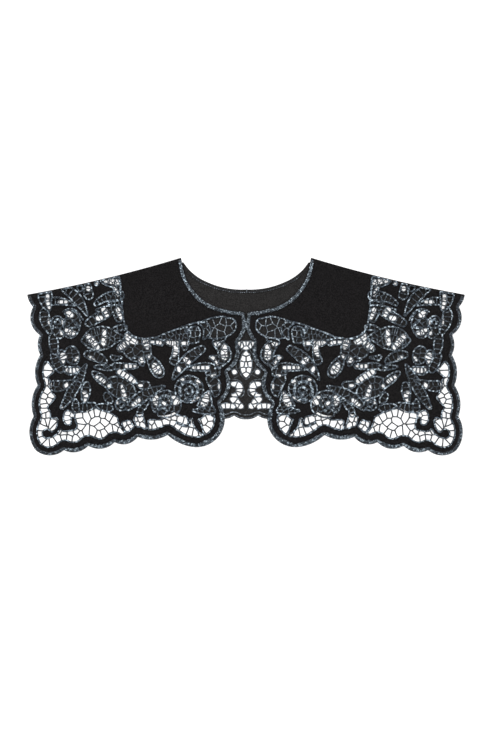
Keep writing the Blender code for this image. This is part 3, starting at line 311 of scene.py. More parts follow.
# Openings of the back, as for the front
BACK_OPENINGS = (
    ("tip_fan", 249, 76, 249, 69, 247, 61, 4.5, 4.5, 3.5, 5),
    ("tip_leaf", 234, 68.5, 229, 68.5, 224, 68.5, 4, 4, 3, 6),
    ("shoulder_bud", 198, 86, 198, 85.2, 198, 84.4, 5, 5.5, 5, 9),
    ("shoulder_eyelet", 187, 91, 187, 91, 187, 91, 4.5, 4.5, 4.5, 7),
    ("seam_row", 177, 94.5, 170, 94, 162, 93, 3.5, 5.5, 8, 6),
    ("seam_bud", 166, 86, 163, 82, 161, 77, 3.5, 4, 3.5, 6),
    ("bud", 223, 54, 222, 53, 220, 52, 7, 7, 6.5, 10.5),
    ("bud_side", 246, 46, 246, 44, 246, 41, 4.5, 5.5, 4.5, 10.5),
    ("bud_crescent", 231, 44, 230, 42.5, 229, 41, 3.5, 4.5, 3.5, 10.5),
    ("bud_ladder", 226, 33, 221, 30.5, 216, 29.5, 4.5, 6.5, 4.5, 4.5),
    ("bud_low", 232, 33, 231.5, 31, 231, 29, 3.5, 4.5, 4.5, 10.5),
    ("finger", 186, 48, 184, 48, 182, 48.3, 5.5, 6, 5, 10.5),
    ("finger_chain", 179, 59, 176, 56, 174, 51.5, 6.5, 5.5, 5.5, 6),
    ("finger_end", 161, 59, 159, 54, 157, 48, 5, 5, 3.5, 6.5),
    ("leaf_ladder", 198, 25, 192, 18, 187, 11.5, 6.5, 7, 6.5, 6),
    ("leaf_column", 178, 32, 178, 25, 179, 16.5, 4.5, 5.5, 6, 9),
    ("petal_gap", 231, 2, 229, -1, 229, -7, 4.5, 8, 3.5, 5.5),
    ("petal_side", 214, -5, 213, -3, 211, -1, 2.5, 3.5, 2.5, 10.5),
    ("tongue", 197, -0.5, 194, -2, 191, -4.5, 2.5, 4, 2.5, 9),
    ("petal_low", 224, -17, 218, -17.5, 212, -16.5, 5, 6.2, 4.5, 4.2),
    ("yoke_corner", 151, 27, 146, 21.5, 139, 18, 4.5, 6.5, 6, 9),
    ("corner_ladder", 162, 10.5, 156, 13, 149, 17, 5.5, 7, 5.5, 5),
    ("spray", 126, 18, 125, 15, 124, 11, 7, 7, 4.5, 5),
    ("spray_low", 121, 0, 126, -2, 131, -4.5, 5.5, 5.5, 7, 6),
    ("row_outer", 119, 17, 113, 17, 108, 17, 4.5, 5.5, 4.5, 6.5),
    ("row_middle", 98, 16.5, 91, 15.5, 83, 16.5, 5.5, 8, 4.5, 6),
    ("row_inner", 79, 16.5, 76, 16, 71, 16.5, 4.5, 5.5, 3.5, 6),
    ("pillar", 88, 9, 88, 6, 90, 2, 6.5, 5.5, 4.5, 5.5),
    ("slant", 76, -3.5, 74, -5.5, 71, -7.5, 5.5, 6.5, 4.5, 6),
    ("slant_low", 85, -14, 84, -17, 84.5, -19, 3.5, 4.5, 2.5, 9),
    ("crescent", 27, 13, 27.5, 7, 27, -1, 5.5, 7.5, 7.5, 6),
    ("crescent_high", 38, 14.5, 36, 15.5, 34, 16, 5.5, 5.5, 3.5, 6),
    ("crescent_spot", 42, -1.5, 39.5, -4.5, 37, -9, 5.5, 3.5, 4.5, 7),
    ("low_leaf", 66, -14, 57, -14, 48, -14, 3.5, 4, 4.5, 6),
    ("low_spot", 43, -24, 41, -24, 38.5, -23.5, 2.5, 3, 2.5, 9),
    ("pod", 115, -11, 112.5, -15, 110, -18, 6, 9.5, 8, 6),
    ("shelf", 151, -12, 146, -12, 139, -12, 4.5, 5, 3, 5.5),
    ("ladder", 159, -19, 150, -25, 140.5, -32, 6.5, 7, 6.5, 6),
    ("wedge", 227, -37, 225.5, -36, 224, -33.5, 4.5, 4.5, 2.5, 9),
    ("hip", 204, -45, 201, -48.5, 202.5, -56, 3.5, 5.5, 3, 6),
    ("bean", 188, -25.5, 183, -28, 179, -31, 3.5, 4.5, 5.5, 6),
    ("bean_spot", 171.5, -37.5, 171.5, -37.5, 171.5, -37.5, 5.5, 5.5, 5.5, 9),
    ("field", 155.5, -37, 154.5, -43, 152, -53, 3.5, 4.5, 6.5, 6),
    ("scroll_spot", 162, -58, 161.5, -58, 161, -58.5, 3.5, 3.5, 3.5, 9),
    ("feather", 142, -61, 139, -59, 135, -55, 3.5, 4.5, 5.5, 6),
    ("knob", 134, -36.5, 132.5, -36.5, 131, -36.5, 3.5, 3.5, 3.5, 9),
    ("flower_outer", 113, -52, 114.5, -56, 110, -60, 6.5, 7, 4.5, 6.5),
    ("flower_middle", 104, -58, 102.5, -59, 101, -60.5, 3.5, 4, 3.5, 9),
    ("flower_inner", 94, -54, 88, -55, 90, -59, 6.5, 10, 3.5, 9),
    ("rosette_high", 81, -28.5, 80, -28.5, 79, -29, 3.5, 3.5, 3.5, 9),
    ("rosette_inner", 60, -31.5, 59.5, -32, 62, -35, 5.5, 6.5, 3.5, 6),
    ("rosette_low", 67, -57, 64, -55, 60, -52, 3.5, 3.5, 3.5, 7),
    ("edge_slit", 33, -33, 33.3, -36, 33.5, -39, 3, 3.5, 3.5, 9),
    ("star_slit", 45, -38, 45.5, -42, 46.5, -46, 3.5, 3, 3.5, 6),
    ("star", 50, -50, 50.5, -54, 53, -59, 5.5, 8, 8, 6.5),
    ("centre_row", 0, 13.5, 4, 14.5, 8, 15.5, 10, 8.5, 6, 4.6),
    ("centre_oval", 0, 6.5, 0, -10, 0, -26, 1, 14.5, 1, 0),
    ("centre_oval", 0, 4, 0, 4, 0, 4, 3, 3, 3, 6),
    ("centre_oval", 2.9, -2.8, 2.9, -2.8, 2.9, -2.8, 3, 3, 3, 6),
    ("centre_oval", 4.4, -9.8, 4.4, -9.8, 4.4, -9.8, 3, 3, 3, 6),
    ("centre_oval", 0, -10.5, 0, -10.5, 0, -10.5, 3, 3, 3, 6),
    ("centre_oval", 3, -17, 3, -17, 3, -17, 3, 3, 3, 6),
    ("centre_oval", 0, -22.8, 0, -22.8, 0, -22.8, 2, 2, 2, 6),
    ("centre_eye", 14.5, -19.5, 14.5, -19.5, 14.5, -19.5, 6, 6, 6, 9),
    ("centre_crescent", 16.5, -34.5, 9, -37, 8.5, -44, 5, 7.5, 6.5, 6.5),
    ("centre_crescent", 8.5, -44, 11, -47.5, 17.5, -48.5, 5.5, 4.5, 2, 6.5),
    ("centre_low", 29, -62.5, 22, -62, 16, -63, 5.5, 6, 5, 6.5),
    ("centre_low", 18, -53.5, 14, -55.5, 10, -59, 4, 7.5, 6, 7.5),
    ("centre_low", 11, -60, 8, -62, 6, -62.5, 5.5, 6.5, 5.5, 6.5),
)

# Glitter cords on the cloth besides the openings' own: start, middle, end (out, up)
FRONT_LINES = (
    ("yoke", 159, 100.5, 157.5, 85, 156, 68),
    ("yoke", 156, 68, 154.5, 54, 152.8, 42),
    ("yoke", 152.8, 42, 149.8, 33, 143, 26.5),
    ("yoke", 143, 26.5, 136, 23, 128, 22),
    ("yoke", 128, 22, 118, 23, 109, 25.3),
    ("yoke", 109, 25.3, 95, 31.2, 80, 36.8),
    ("yoke", 80, 36.8, 69, 40.7, 57, 43.6),
    ("bud_arc", 230, 56, 216, 59, 204.5, 45.5),
)

# Glitter cords of the back round its centre openings, each with its mirror image
BACK_LINES = (
    ("oval", 4.5, 8.5, 12.5, -8, 8, -20),
    ("oval", 8, -20, 4, -26, 0, -28.5),
    ("crescent", 22, -29, 9, -30, 4.5, -37),
    ("crescent", 4.5, -37, 2.5, -46, 7, -51),
    ("side", 20, 6, 21.5, -6, 30, -17),
    ("side", 26, -22, 22, -32, 24, -45),
    ("side", 24, -45, 25, -50, 33, -56),
)


def circle_centre(a, b, c, least):
    """The centre of the circle through three points, or None where they are almost in line."""
    (ax, ay), (bx, by), (cx, cy) = a, b, c
    twice_area = 2 * (ax * (by - cy) + bx * (cy - ay) + cx * (ay - by))
    if abs(twice_area) < least:
        return None
    a2, b2, c2 = ax * ax + ay * ay, bx * bx + by * by, cx * cx + cy * cy
    return ((a2 * (by - cy) + b2 * (cy - ay) + c2 * (ay - by)) / twice_area,
            (a2 * (cx - bx) + b2 * (ax - cx) + c2 * (bx - ax)) / twice_area)


def arc_through(start, crest, end):
    """Points from start towards end, without end, on the circle through all three."""
    centre = circle_centre(start, crest, end, 1e-3)
    if centre is None:
        dx, dy = end[0] - start[0], end[1] - start[1]
        return [(start[0] + dx * i / ARC_STEPS, start[1] + dy * i / ARC_STEPS) for i in range(ARC_STEPS)]
    radius = math.hypot(start[0] - centre[0], start[1] - centre[1])
    first, middle, last = (math.atan2(y - centre[1], x - centre[0]) for x, y in (start, crest, end))
    sweep = (last - first) % math.tau
    if (middle - first) % math.tau > sweep:
        sweep -= math.tau
    angles = [first + sweep * i / ARC_STEPS for i in range(ARC_STEPS)]
    return [(centre[0] + radius * math.cos(a), centre[1] + radius * math.sin(a)) for a in angles]


def edge_path(first, rows, last):
    """An edge from its first point through the rows of a table to its last point."""
    points = [first]
    for row, following in zip(rows, rows[1:] + (last,)):
        points += arc_through(row[:2], row[2:], following[:2])
    return points + [last]


def front_edge():
    return edge_path(SHOULDER_TIP, FRONT_EDGE, NECK_POINT)


def front_cloth_edge():
    """The front's edge, taken on over the fold, where the cloth goes on."""
    return front_edge() + [from_fold(0, -OVER_FOLD), from_fold(FOLD_LENGTH, -OVER_FOLD)]


def back_hem_edge():
    """Half of the back's edge, from below the shoulder's tip to the centre of the hem."""
    return edge_path(from_fold(FOLD_LENGTH - TIP_SHORT, SEAM_INWARDS), BACK_EDGE, BACK_HEM_CENTRE)


def back_neck_edge():
    """Half of the back's neckline, from the centre to the shoulder."""
    inner = arc_through(BACK_NECK_CENTRE, BACK_NECK_DIP, BACK_NECK_INNER)
    return inner + arc_through(BACK_NECK_INNER, BACK_NECK_HOLLOW, BACK_NECK_OUTER) + [BACK_NECK_OUTER]


def fold_sag(u):
    """The fold's place across its straight line at a distance along it, negative inwards."""
    return -4 * FOLD_SAG * (u / FOLD_LENGTH) * (1 - u / FOLD_LENGTH)


def to_fold(x, y):
    """Distance along the fold and distance in from it, for points or whole grids."""
    dx, dy = x - NECK_POINT[0], y - NECK_POINT[1]
    u = dx * FOLD_OUT + dy * FOLD_UP
    return u, fold_sag(u) - (dy * FOLD_OUT - dx * FOLD_UP)


def from_fold(u, inwards):
    """The place in the plane at a distance along the fold and in from it."""
    v = fold_sag(u) - inwards
    return NECK_POINT[0] + u * FOLD_OUT - v * FOLD_UP, NECK_POINT[1] + u * FOLD_UP + v * FOLD_OUT


def quadratic(start, middle, end, count):
    t = np.linspace(0, 1, count)
    return start * (1 - t) * (1 - 2 * t) + middle * 4 * t * (1 - t) + end * t * (2 * t - 1)


def spine_of(row, count=13):
    """Points and half widths along a stroke of a table."""
    x0, y0, x1, y1, x2, y2, w0, w1, w2 = row[1:10]
    half = np.maximum(quadratic(w0, w1, w2, count) / 2, 0.05)
    return quadratic(x0, x1, x2, count), quadratic(y0, y1, y2, count), half


def stroke_distance(x, y, xs, ys, half):
    """Distance from a grid's points to a stroke's edge, negative inside the stroke."""
    nearest = np.full(x.shape, FAR)
    for i in range(len(xs) - 1):
        dx, dy = xs[i + 1] - xs[i], ys[i + 1] - ys[i]
        t = np.clip(((x - xs[i]) * dx + (y - ys[i]) * dy) / max(dx * dx + dy * dy, 1e-9), 0, 1)
        reach = half[i] + t * (half[i + 1] - half[i])
        nearest = np.minimum(nearest, np.hypot(x - xs[i] - t * dx, y - ys[i] - t * dy) - reach)
    return nearest


def scroll_distance(x, y, row):
    _, cx, cy, radius, first, last, width = row
    angles = np.radians(np.linspace(first, last, 25))
    xs, ys = cx + radius * np.cos(angles), cy + radius * np.sin(angles)
    return stroke_distance(x, y, xs, ys, np.full(25, width / 2))


def polygon_distance(x, y, corners):
    """Distance from a grid's points to a polygon's edge, negative inside it."""
    nearest = np.full(x.shape, 1e9)
    inside = np.zeros(x.shape, bool)
    for (ax, ay), (bx, by) in zip(corners, corners[1:] + corners[:1]):
        dx, dy = bx - ax, by - ay
        t = np.clip(((x - ax) * dx + (y - ay) * dy) / max(dx * dx + dy * dy, 1e-9), 0, 1)
        nearest = np.minimum(nearest, (x - ax - t * dx) ** 2 + (y - ay - t * dy) ** 2)
        if ay != by:
            inside ^= ((ay > y) != (by > y)) & (x < dx * (y - ay) / dy + ax)
    return np.where(inside, -np.sqrt(nearest), np.sqrt(nearest))


def round_seeds(x, y, radius, pitch, rng):
    """Seeds of a round opening's net: one in the middle and rings round it, or the middle alone."""
    seeds = [(x, y)]
    if radius < pitch * 0.62:
        return seeds
    rings = max(1, round((radius - pitch * 0.4) / pitch))
    for ring in range(1, rings + 1):
        ring_radius = radius * (ring + 0.1) / (rings + 0.6)
        count = max(4, round(math.tau * ring_radius / pitch))
        for k in range(count):
            angle = math.tau * (k + 0.5 * (ring % 2) + rng.uniform(-0.15, 0.15)) / count
            seeds.append((x + ring_radius * math.cos(angle), y + ring_radius * math.sin(angle)))
    return seeds


def stroke_seeds(row, rng):
    """Seeds of the net in one opening, in rows along its spine."""
    xs, ys, half = spine_of(row, 25)
    pitch = row[10]
    if not pitch:
        return []
    along = np.concatenate([[0], np.cumsum(np.hypot(np.diff(xs), np.diff(ys)))])
    length = along[-1]
    if length < pitch * 0.7:
        return round_seeds(xs.mean(), ys.mean(), half.max(), pitch, rng)
    whole = length + half[0] + half[-1]
    stations = max(2, round(whole / pitch))
    seeds = []
    for i in range(stations):
        place = (i + 0.5) / stations * whole - half[0]
        inner = min(max(place, 0), length)
        k = min(int(np.searchsorted(along, inner, side="right")) - 1, len(along) - 2)
        share = (inner - along[k]) / (along[k + 1] - along[k])
        step_x, step_y = xs[k + 1] - xs[k], ys[k + 1] - ys[k]
        size = math.hypot(step_x, step_y)
        dx, dy = step_x / size, step_y / size
        x = xs[k] + share * step_x + dx * (place - inner)
        y = ys[k] + share * step_y + dy * (place - inner)
        width = 2 * (half[k] + share * (half[k + 1] - half[k]))
        rows = max(1, round(width / pitch - 0.35))
        for j in range(rows):
            side = ((j + 0.5) / rows - 0.5) * width
            slide = 0.0
            if rows > 1:
                side += rng.uniform(-0.18, 0.18) * pitch
                slide = (rng.uniform(-0.15, 0.15) + (0.25 if j % 2 else -0.25)) * pitch
            seeds.append((x - dy * side + dx * slide, y + dx * side + dy * slide))
    return seeds


def ground_seeds(rng):
    """Seeds in uneven rows over the open ground's box."""
    (low_x, low_y), (high_x, high_y) = GROUND_BOX
    seeds = []
    y, row = low_y, 0
    while y < high_y:
        x = low_x + (GROUND_PITCH / 2 if row % 2 else 0)
        while x < high_x:
            stray = rng.uniform(-0.27, 0.27), rng.uniform(-0.27, 0.27)
            seeds.append((x + stray[0] * GROUND_PITCH, y + stray[1] * GROUND_PITCH))
            x += GROUND_PITCH
        y += GROUND_PITCH * ROW_STEP
        row += 1
    return seeds


def rim_seeds(x, y, ground, rng):
    """Seeds of the open ground: a row along its rim, whose bars stand on the rim, and rows inside it."""
    rim = []
    for loop in trace_loops(x, y, np.maximum(ground + GROUND_RIM, -FAR)):
        path = np.concatenate([loop, loop[:1]])
        along = np.concatenate([[0], np.cumsum(np.hypot(*np.diff(path, axis=0).T))])
        count = max(1, round(along[-1] / (GROUND_PITCH * 0.82)))
        stations = (np.arange(count) + rng.uniform(-0.2, 0.2, count)) % count * along[-1] / count
        rim += [(np.interp(t, along, path[:, 0]), np.interp(t, along, path[:, 1])) for t in stations]
    places = np.array(rim)
    clear = 0.85 * GROUND_PITCH
    return rim + [seed for seed in ground_seeds(rng) if np.hypot(*(places - seed).T).min() > clear]


def centre_seeds(seeds):
    """The seeds and their mirror images over the centre line, one where the two would meet."""
    kept = [(x, y) for x, y in seeds if x > MEETING]
    middle = [(0.0, y) for x, y in seeds if abs(x) <= MEETING]
    return kept + [(-x, y) for x, y in kept] + middle


def trace_loops(x, y, field):
    """Closed paths round the places where the field is negative. The grid's own edge closes them too."""
    field = field.copy()
    field[[0, -1]] = field[:, [0, -1]] = FAR
    inside = field < 0
    mixed = inside[:-1, :-1].astype(int) + inside[1:, :-1] + inside[:-1, 1:] + inside[1:, 1:]
    links = {}
    for i, j in zip(*np.nonzero((mixed > 0) & (mixed < 4))):
        corners = ((i, j), (i, j + 1), (i + 1, j + 1), (i + 1, j))
        turns = [(a, b) for a, b in zip(corners, corners[1:] + corners[:1]) if inside[a] != inside[b]]
        for k, (a, b) in enumerate(turns):
            if inside[a]:
                links[frozenset((a, b))] = frozenset(turns[k - 1])
    loops = []
    while links:
        key, following = links.popitem()
        loop = [key]
        while following != key:
            loop.append(following)
            following = links.pop(following)
        loops.append(np.array([crossing(x, y, field, tuple(pair)) for pair in loop]))
    return loops


def crossing(x, y, field, pair):
    """The place between two grid points where the field is zero."""
    a, b = pair
    t = field[a] / (field[a] - field[b])
    return (x[a] + t * (x[b] - x[a]), y[a] + t * (y[b] - y[a]))


def straighten(path):
    """The points of an open path that its shape needs."""
    if len(path) < 3:
        return path
    chord = path[-1] - path[0]
    length = max(np.hypot(*chord), 1e-9)
    off = np.abs(chord[0] * (path[:, 1] - path[0, 1]) - chord[1] * (path[:, 0] - path[0, 0])) / length
    far = int(off.argmax())
    if off[far] < LOOP_TOLERANCE:
        return path[[0, -1]]
    return np.concatenate([straighten(path[:far + 1])[:-1], straighten(path[far:])])


def simple_loop(path):
    """A closed path with only the points that its shape needs."""
    turned = np.roll(path, -int(np.hypot(*(path - path.mean(axis=0)).T).argmax()), axis=0)
    far = int(np.hypot(*(turned - turned[0]).T).argmax())
    homeward = np.concatenate([turned[far:], turned[:1]])
    return np.concatenate([straighten(turned[:far + 1])[:-1], straighten(homeward)[:-1]])


def sample(x, y, field, places):
    """A grid's values at places between its points."""
    step = x[0, 1] - x[0, 0]
    column = np.clip((places[:, 0] - x[0, 0]) / step, 0, x.shape[1] - 1.001)
    row = np.clip((places[:, 1] - y[0, 0]) / step, 0, x.shape[0] - 1.001)
    i, j = row.astype(int), column.astype(int)
    down, across = row - i, column - j
    low = field[i, j] * (1 - across) + field[i, j + 1] * across
    high = field[i + 1, j] * (1 - across) + field[i + 1, j + 1] * across
    return low * (1 - down) + high * down


def net_bars(seeds):
    """The bars between the cells that lie round the seeds, as pairs of points."""
    x, y = np.mean(seeds, axis=0)
    far = [(x + 400 * a, y + 400 * b) for a, b in ((1, 0.1), (-0.1, 1), (-1, -0.1), (0.1, -1))]
    points = [Vector(seed) for seed in list(seeds) + far]
    corners, _, triangles = delaunay_2d_cdt(points, [], [], 0, 1e-4)[:3]
    centres = {}
    for triangle in triangles:
        centre = circle_centre(*(corners[k] for k in triangle), 1e-6)
        if centre:
            for k in range(3):
                centres.setdefault(frozenset((triangle[k], triangle[k - 1])), []).append(centre)
    return [pair for pair in centres.values() if len(pair) == 2 and math.dist(*pair) > SHORTEST_BAR]


def kept_runs(path, keep, closed):
    """The stretches of a path where keep is true."""
    if keep.all():
        return [(path, closed)]
    if closed:
        start = int(np.argmin(keep))
        path, keep = np.roll(path, -start, axis=0), np.roll(keep, -start)
    runs, first = [], None
    for i, held in enumerate(list(keep) + [False]):
        if held and first is None:
            first = i
        if not held and first is not None:
            if i - first > 2:
                runs.append((path[first:i], False))
            first = None
    return runs


def clipped_bars(bars, rng, x, y, inside, before):
    """A net's bars where they cross their opening, each a little bowed."""
    runs = []
    for a, b in bars:
        a, b = np.array(a), np.array(b)
        length = np.hypot(*(b - a))
        t = np.linspace(0, 1, max(4, int(length / 0.5)))[:, None]
        bow = rng.uniform(-0.045, 0.045) * min(length, 9)
        side = np.array([a[1] - b[1], b[0] - a[0]]) / length
        path = a + (b - a) * t + side * bow * 4 * t * (1 - t)
        keep = (sample(x, y, inside, path) < 0.5) & (sample(x, y, before, path) > -0.2)
        runs += [run for run, _ in kept_runs(path, keep, False)]
    return runs


def covered_edges(x, y, before, added):
    """The stretches of the openings' edges that an added opening covers."""
    return [run for path in trace_loops(x, y, before)
            for run in kept_runs(path, sample(x, y, added, path) < 0.2, True)]


def cut_openings(x, y, table, rng):
    """The openings' field, the bars of their nets, and the seams where one meets another."""
    openings = np.full(x.shape, FAR)
    bow = np.random.default_rng(PATTERN_SEED + 1)
    bars, seams = [], []
    for name in dict.fromkeys(row[0] for row in table):
        rows = [row for row in table if row[0] == name]
        seeds = [seed for row in rows for seed in stroke_seeds(row, rng)]
        if name.startswith("centre"):
            seeds = centre_seeds(seeds)
        xs = [row[k] for row in rows for k in (1, 3, 5)]
        ys = [row[k] for row in rows for k in (2, 4, 6)]
        near = (slice(*np.searchsorted(y[:, 0], [min(ys) - STROKE_REACH, max(ys) + STROKE_REACH])),
                slice(*np.searchsorted(x[0], [min(xs) - STROKE_REACH, max(xs) + STROKE_REACH])))
        gx, gy = x[near], y[near]
        shape = np.full(gx.shape, FAR)
        for row in rows:
            shape = np.minimum(shape, stroke_distance(gx, gy, *spine_of(row)))
        before = openings[near].copy()
        if len(seeds) > 1:
            bars += clipped_bars(net_bars(seeds), bow, gx, gy, shape, before)
        if ((shape < -0.5) & (before < 0)).any():
            seams += covered_edges(gx, gy, before, shape)
        openings[near] = np.minimum(before, shape)
    return openings, bars, seams


def clip_paths(runs, x, y, field, reach):
    """Open or closed paths cut back to where a field is below a reach."""
    kept = []
    for run in runs:
        path, closed = run if isinstance(run, tuple) else (run, False)
        kept += kept_runs(path, sample(x, y, field, path) < reach, closed)
    return kept


def front_cutwork():
    """A front's openings, the bars of its nets and of its open ground, and its seams."""
    rng = np.random.default_rng(PATTERN_SEED)
    x, y = np.meshgrid(np.arange(-2, 276, GRID_STEP), np.arange(-126, 126, GRID_STEP))
    inset = -polygon_distance(x, y, front_cloth_edge())
    openings, bars, seams = cut_openings(x, y, FRONT_OPENINGS, rng)
    openings = np.maximum(openings, OPENING_MARGIN - inset)
    margin = CORNER_MARGIN + (GROUND_MARGIN - CORNER_MARGIN) * np.clip((250 - x) / 25, 0, 1)
    ground = np.maximum(polygon_distance(x, y, list(FRONT_GROUND)), margin - inset)
    seeds = rim_seeds(x, y, ground, rng)
    bow = np.random.default_rng(PATTERN_SEED + 2)
    ground_bars = clipped_bars(net_bars(seeds), bow, x, y, ground, openings)
    seams += covered_edges(x, y, openings, ground)
    field = np.minimum(openings, ground)
    for row in FRONT_STEMS:
        field = np.maximum(field, -stroke_distance(x, y, *spine_of(row)))
    for row in FRONT_SCROLLS:
        field = np.maximum(field, -scroll_distance(x, y, row))
    field = np.maximum(field, FOLD_CLEAR - to_fold(x, y)[1])
    return x, y, field, bars, ground_bars, seams


def back_cutwork():
    """The same for the right half of the back, whose centre openings reach over the middle."""
    rng = np.random.default_rng(PATTERN_SEED)
    x, y = np.meshgrid(np.arange(0, 276, GRID_STEP), np.arange(-90, 126, GRID_STEP))
    openings, bars, seams = cut_openings(x, y, BACK_OPENINGS, rng)
    return x, y, np.maximum(openings, FOLD_CLEAR - to_fold(x, y)[1]), bars, seams


def evenly(path, spacing, closed):
    """Points at even distances along a path."""
    if closed:
        path = np.concatenate([path, path[:1]])
    steps = np.hypot(*np.diff(path, axis=0).T)
    along = np.concatenate([[0], np.cumsum(steps)])
    count = max(4 if closed else 2, round(along[-1] / spacing) + (0 if closed else 1))
    stations = np.linspace(0, along[-1], count, endpoint=not closed)
    return np.stack([np.interp(stations, along, path[:, k]) for k in (0, 1)], axis=1)


def softened(path, closed, rounds=2):
    """A path with its small steps smoothed away."""
    for _ in range(rounds):
        before, after = np.roll(path, 1, axis=0), np.roll(path, -1, axis=0)
        blend = path * 0.5 + (before + after) * 0.25
        if not closed:
            blend[0], blend[-1] = path[0], path[-1]
        path = blend
    return path


def beside(path, distance, closed):
    """A path moved to its right by a distance."""
    ahead, behind = np.roll(path, -1, axis=0), np.roll(path, 1, axis=0)
    if not closed:
        ahead[-1], behind[0] = path[-1], path[0]
    along = ahead - behind
    along /= np.maximum(np.hypot(*along.T), 1e-9)[:, None]
    return path + distance * np.stack([along[:, 1], -along[:, 0]], axis=1)


def cloth_pieces(outline, holes, fills, solid_at):
    """Triangles of a flat cloth with holes: its corners, its faces and its area."""
    points, edges = [], []
    for loop in [outline] + holes:
        first = len(points)
        points += [Vector(p) for p in loop]
        edges += [(first + k, first + (k + 1) % len(loop)) for k in range(len(loop))]
    points += [Vector(p) for p in fills]
    corners, links, faces, _, origins, _ = delaunay_2d_cdt(points, edges, [], 0, 1e-5)
    walls = {frozenset(link) for link, origin in zip(links, origins) if origin}
    neighbours = {}
    for f, face in enumerate(faces):
        for k in range(3):
            neighbours.setdefault(frozenset((face[k], face[k - 1])), []).append(f)
    joined = [[] for _ in faces]
    for link, pair in neighbours.items():
        if len(pair) == 2 and link not in walls:
            joined[pair[0]].append(pair[1])
            joined[pair[1]].append(pair[0])
    corners, faces = np.array([tuple(c) for c in corners]), np.array(faces)
    a, b, c = (corners[faces[:, k]] for k in range(3))
    areas = np.abs((b - a)[:, 0] * (c - a)[:, 1] - (b - a)[:, 1] * (c - a)[:, 0]) / 2
    middles = (a + b + c) / 3
    solid = np.where(polygon_distance(*middles.T, outline) < 0, np.minimum(solid_at(middles), 5), -5)
    worth = solid * areas
    seen, kept = set(), []
    for start in range(len(faces)):
        if start in seen:
            continue
        seen.add(start)
        group = [start]
        for f in group:
            fresh = [g for g in joined[f] if g not in seen]
            seen.update(fresh)
            group += fresh
        if worth[group].sum() > 0:
            kept += group
    kept.sort()
    used, renumbered = np.unique(faces[kept], return_inverse=True)
    return corners[used], renumbered.reshape(-1, 3), areas[kept].sum()


def edge_from_fold():
    """A front's edge along and in from its fold, from its tip to its neck, as far as the roll."""
    return [point for point in (to_fold(x, y) for x, y in front_edge()) if point[1] > FOLD_RADIUS]


def fold_profile(along_cloth):
    """Distance in from the fold, height of the cloth's middle, and its upward direction there."""
    top = CLOTH / 2 + 2 * FOLD_RADIUS
    turn = np.clip((FOLD_RADIUS - along_cloth) / FOLD_RADIUS, 0, math.pi)
    t = np.clip((along_cloth - FOLD_RADIUS) / FOLD_RELAX, 0, 1)
    slope = -(top - FRONT_MID) * 6 * t * (1 - t) / FOLD_RELAX
    size = np.hypot(slope, 1)
    rolled = along_cloth < FOLD_RADIUS
    inwards = np.where(rolled, FOLD_RADIUS * (1 - np.sin(turn)), along_cloth)
    height = np.where(rolled, CLOTH / 2 + FOLD_RADIUS * (1 + np.cos(turn)),
                      FRONT_MID + (top - FRONT_MID) * (1 - t * t * (3 - 2 * t)))
    lean, rise = np.where(rolled, -np.sin(turn), -slope / size), np.where(rolled, np.cos(turn), 1 / size)
    return inwards, height, lean, rise


def back_outline():
    """The back's whole edge, from the centre of the neckline round by its own right shoulder."""
    neck_u, tip_u = to_fold(*BACK_NECK_OUTER)[0], FOLD_LENGTH - TIP_SHORT
    steps = 2 * ARC_STEPS
    seam = [from_fold(neck_u + (tip_u - neck_u) * i / steps, SEAM_INWARDS) for i in range(1, steps)]
    half = back_neck_edge()[:-1] + seam + back_hem_edge()
    return half + [(-x, y) for x, y in half[-2:0:-1]]


def front_outline():
    """A front's outline along the fold: its edge, then the hidden part that rolls to the seam."""
    edge = edge_from_fold()
    tip, neck = edge[0], edge[-1]
    rolled = [(neck[0], a) for a in np.arange(neck[1] - ROLL_POINT, FRONT_SEAM, -ROLL_POINT)]
    under = [(neck[0] + (tip[0] - neck[0]) * i / 80, FRONT_SEAM) for i in range(81)]
    risen = [(tip[0], a) for a in np.arange(FRONT_SEAM + ROLL_POINT, tip[1], ROLL_POINT)]
    return edge + rolled + under + risen


def on_front(places, lift, side):
    """Places of a front, along and in from its fold, laid in the scene."""
    u, along_cloth = places[:, 0], places[:, 1]
    inwards, middle, lean, rise = fold_profile(along_cloth)
    x, y = from_fold(u, inwards + lean * lift)
    height = middle + rise * lift + drape(x, y, along_cloth, side)
    return np.stack([side * x, y + UP_SHIFT, height], axis=1) * MM


def drape(x, y, along_cloth, side):
    """How far a front sinks beyond the back's edge, and its low ripples."""
    beyond = sample(*BEYOND_BACK, np.stack([x, y], axis=1))
    t = np.clip(beyond / DROOP_REACH, 0, 1)
    sink = DROOP * t * t * (3 - 2 * t)
    settle = np.clip((along_cloth - FOLD_RADIUS) / 30, 0, 1)
    phase = 0.0 if side > 0 else 1.7
    wave = (np.sin(x / 23 + y / 41 + phase) + np.sin(y / 19 - x / 47 + 2 * phase)
            + np.sin(x / 13 + y / 15 + 3 * phase) * 0.5) / 2.5
    return -sink * np.clip((along_cloth - FOLD_RADIUS) / 6, 0, 1) + settle * RIPPLE * (0.5 + 0.5 * wave)


def front_lay(side, lift):
    """A function that lays a front's paths in the scene, lifted off the cloth's middle."""
    return lambda path: on_front(np.stack(to_fold(path[:, 0], path[:, 1]), axis=1), lift, side)


def back_lay(side, lift):
    """The same for the back, whose left half is the mirror image of its right."""
    def lay(path):
        height = np.full(len(path), CLOTH / 2 + lift)
        return np.stack([side * path[:, 0], path[:, 1] + UP_SHIFT, height], axis=1) * MM
    return lay


def across(points, closed):
    """The directions beside and above a path."""
    ahead, behind = np.roll(points, -1, axis=0), np.roll(points, 1, axis=0)
    if not closed:
        ahead[-1], behind[0] = points[-1], points[0]
    along = ahead - behind
    along /= np.maximum(np.linalg.norm(along, axis=1), 1e-12)[:, None]
    beside_it = np.cross(along, (0, 0, 1))
    beside_it /= np.maximum(np.linalg.norm(beside_it, axis=1), 1e-12)[:, None]
    return beside_it, np.cross(beside_it, along)


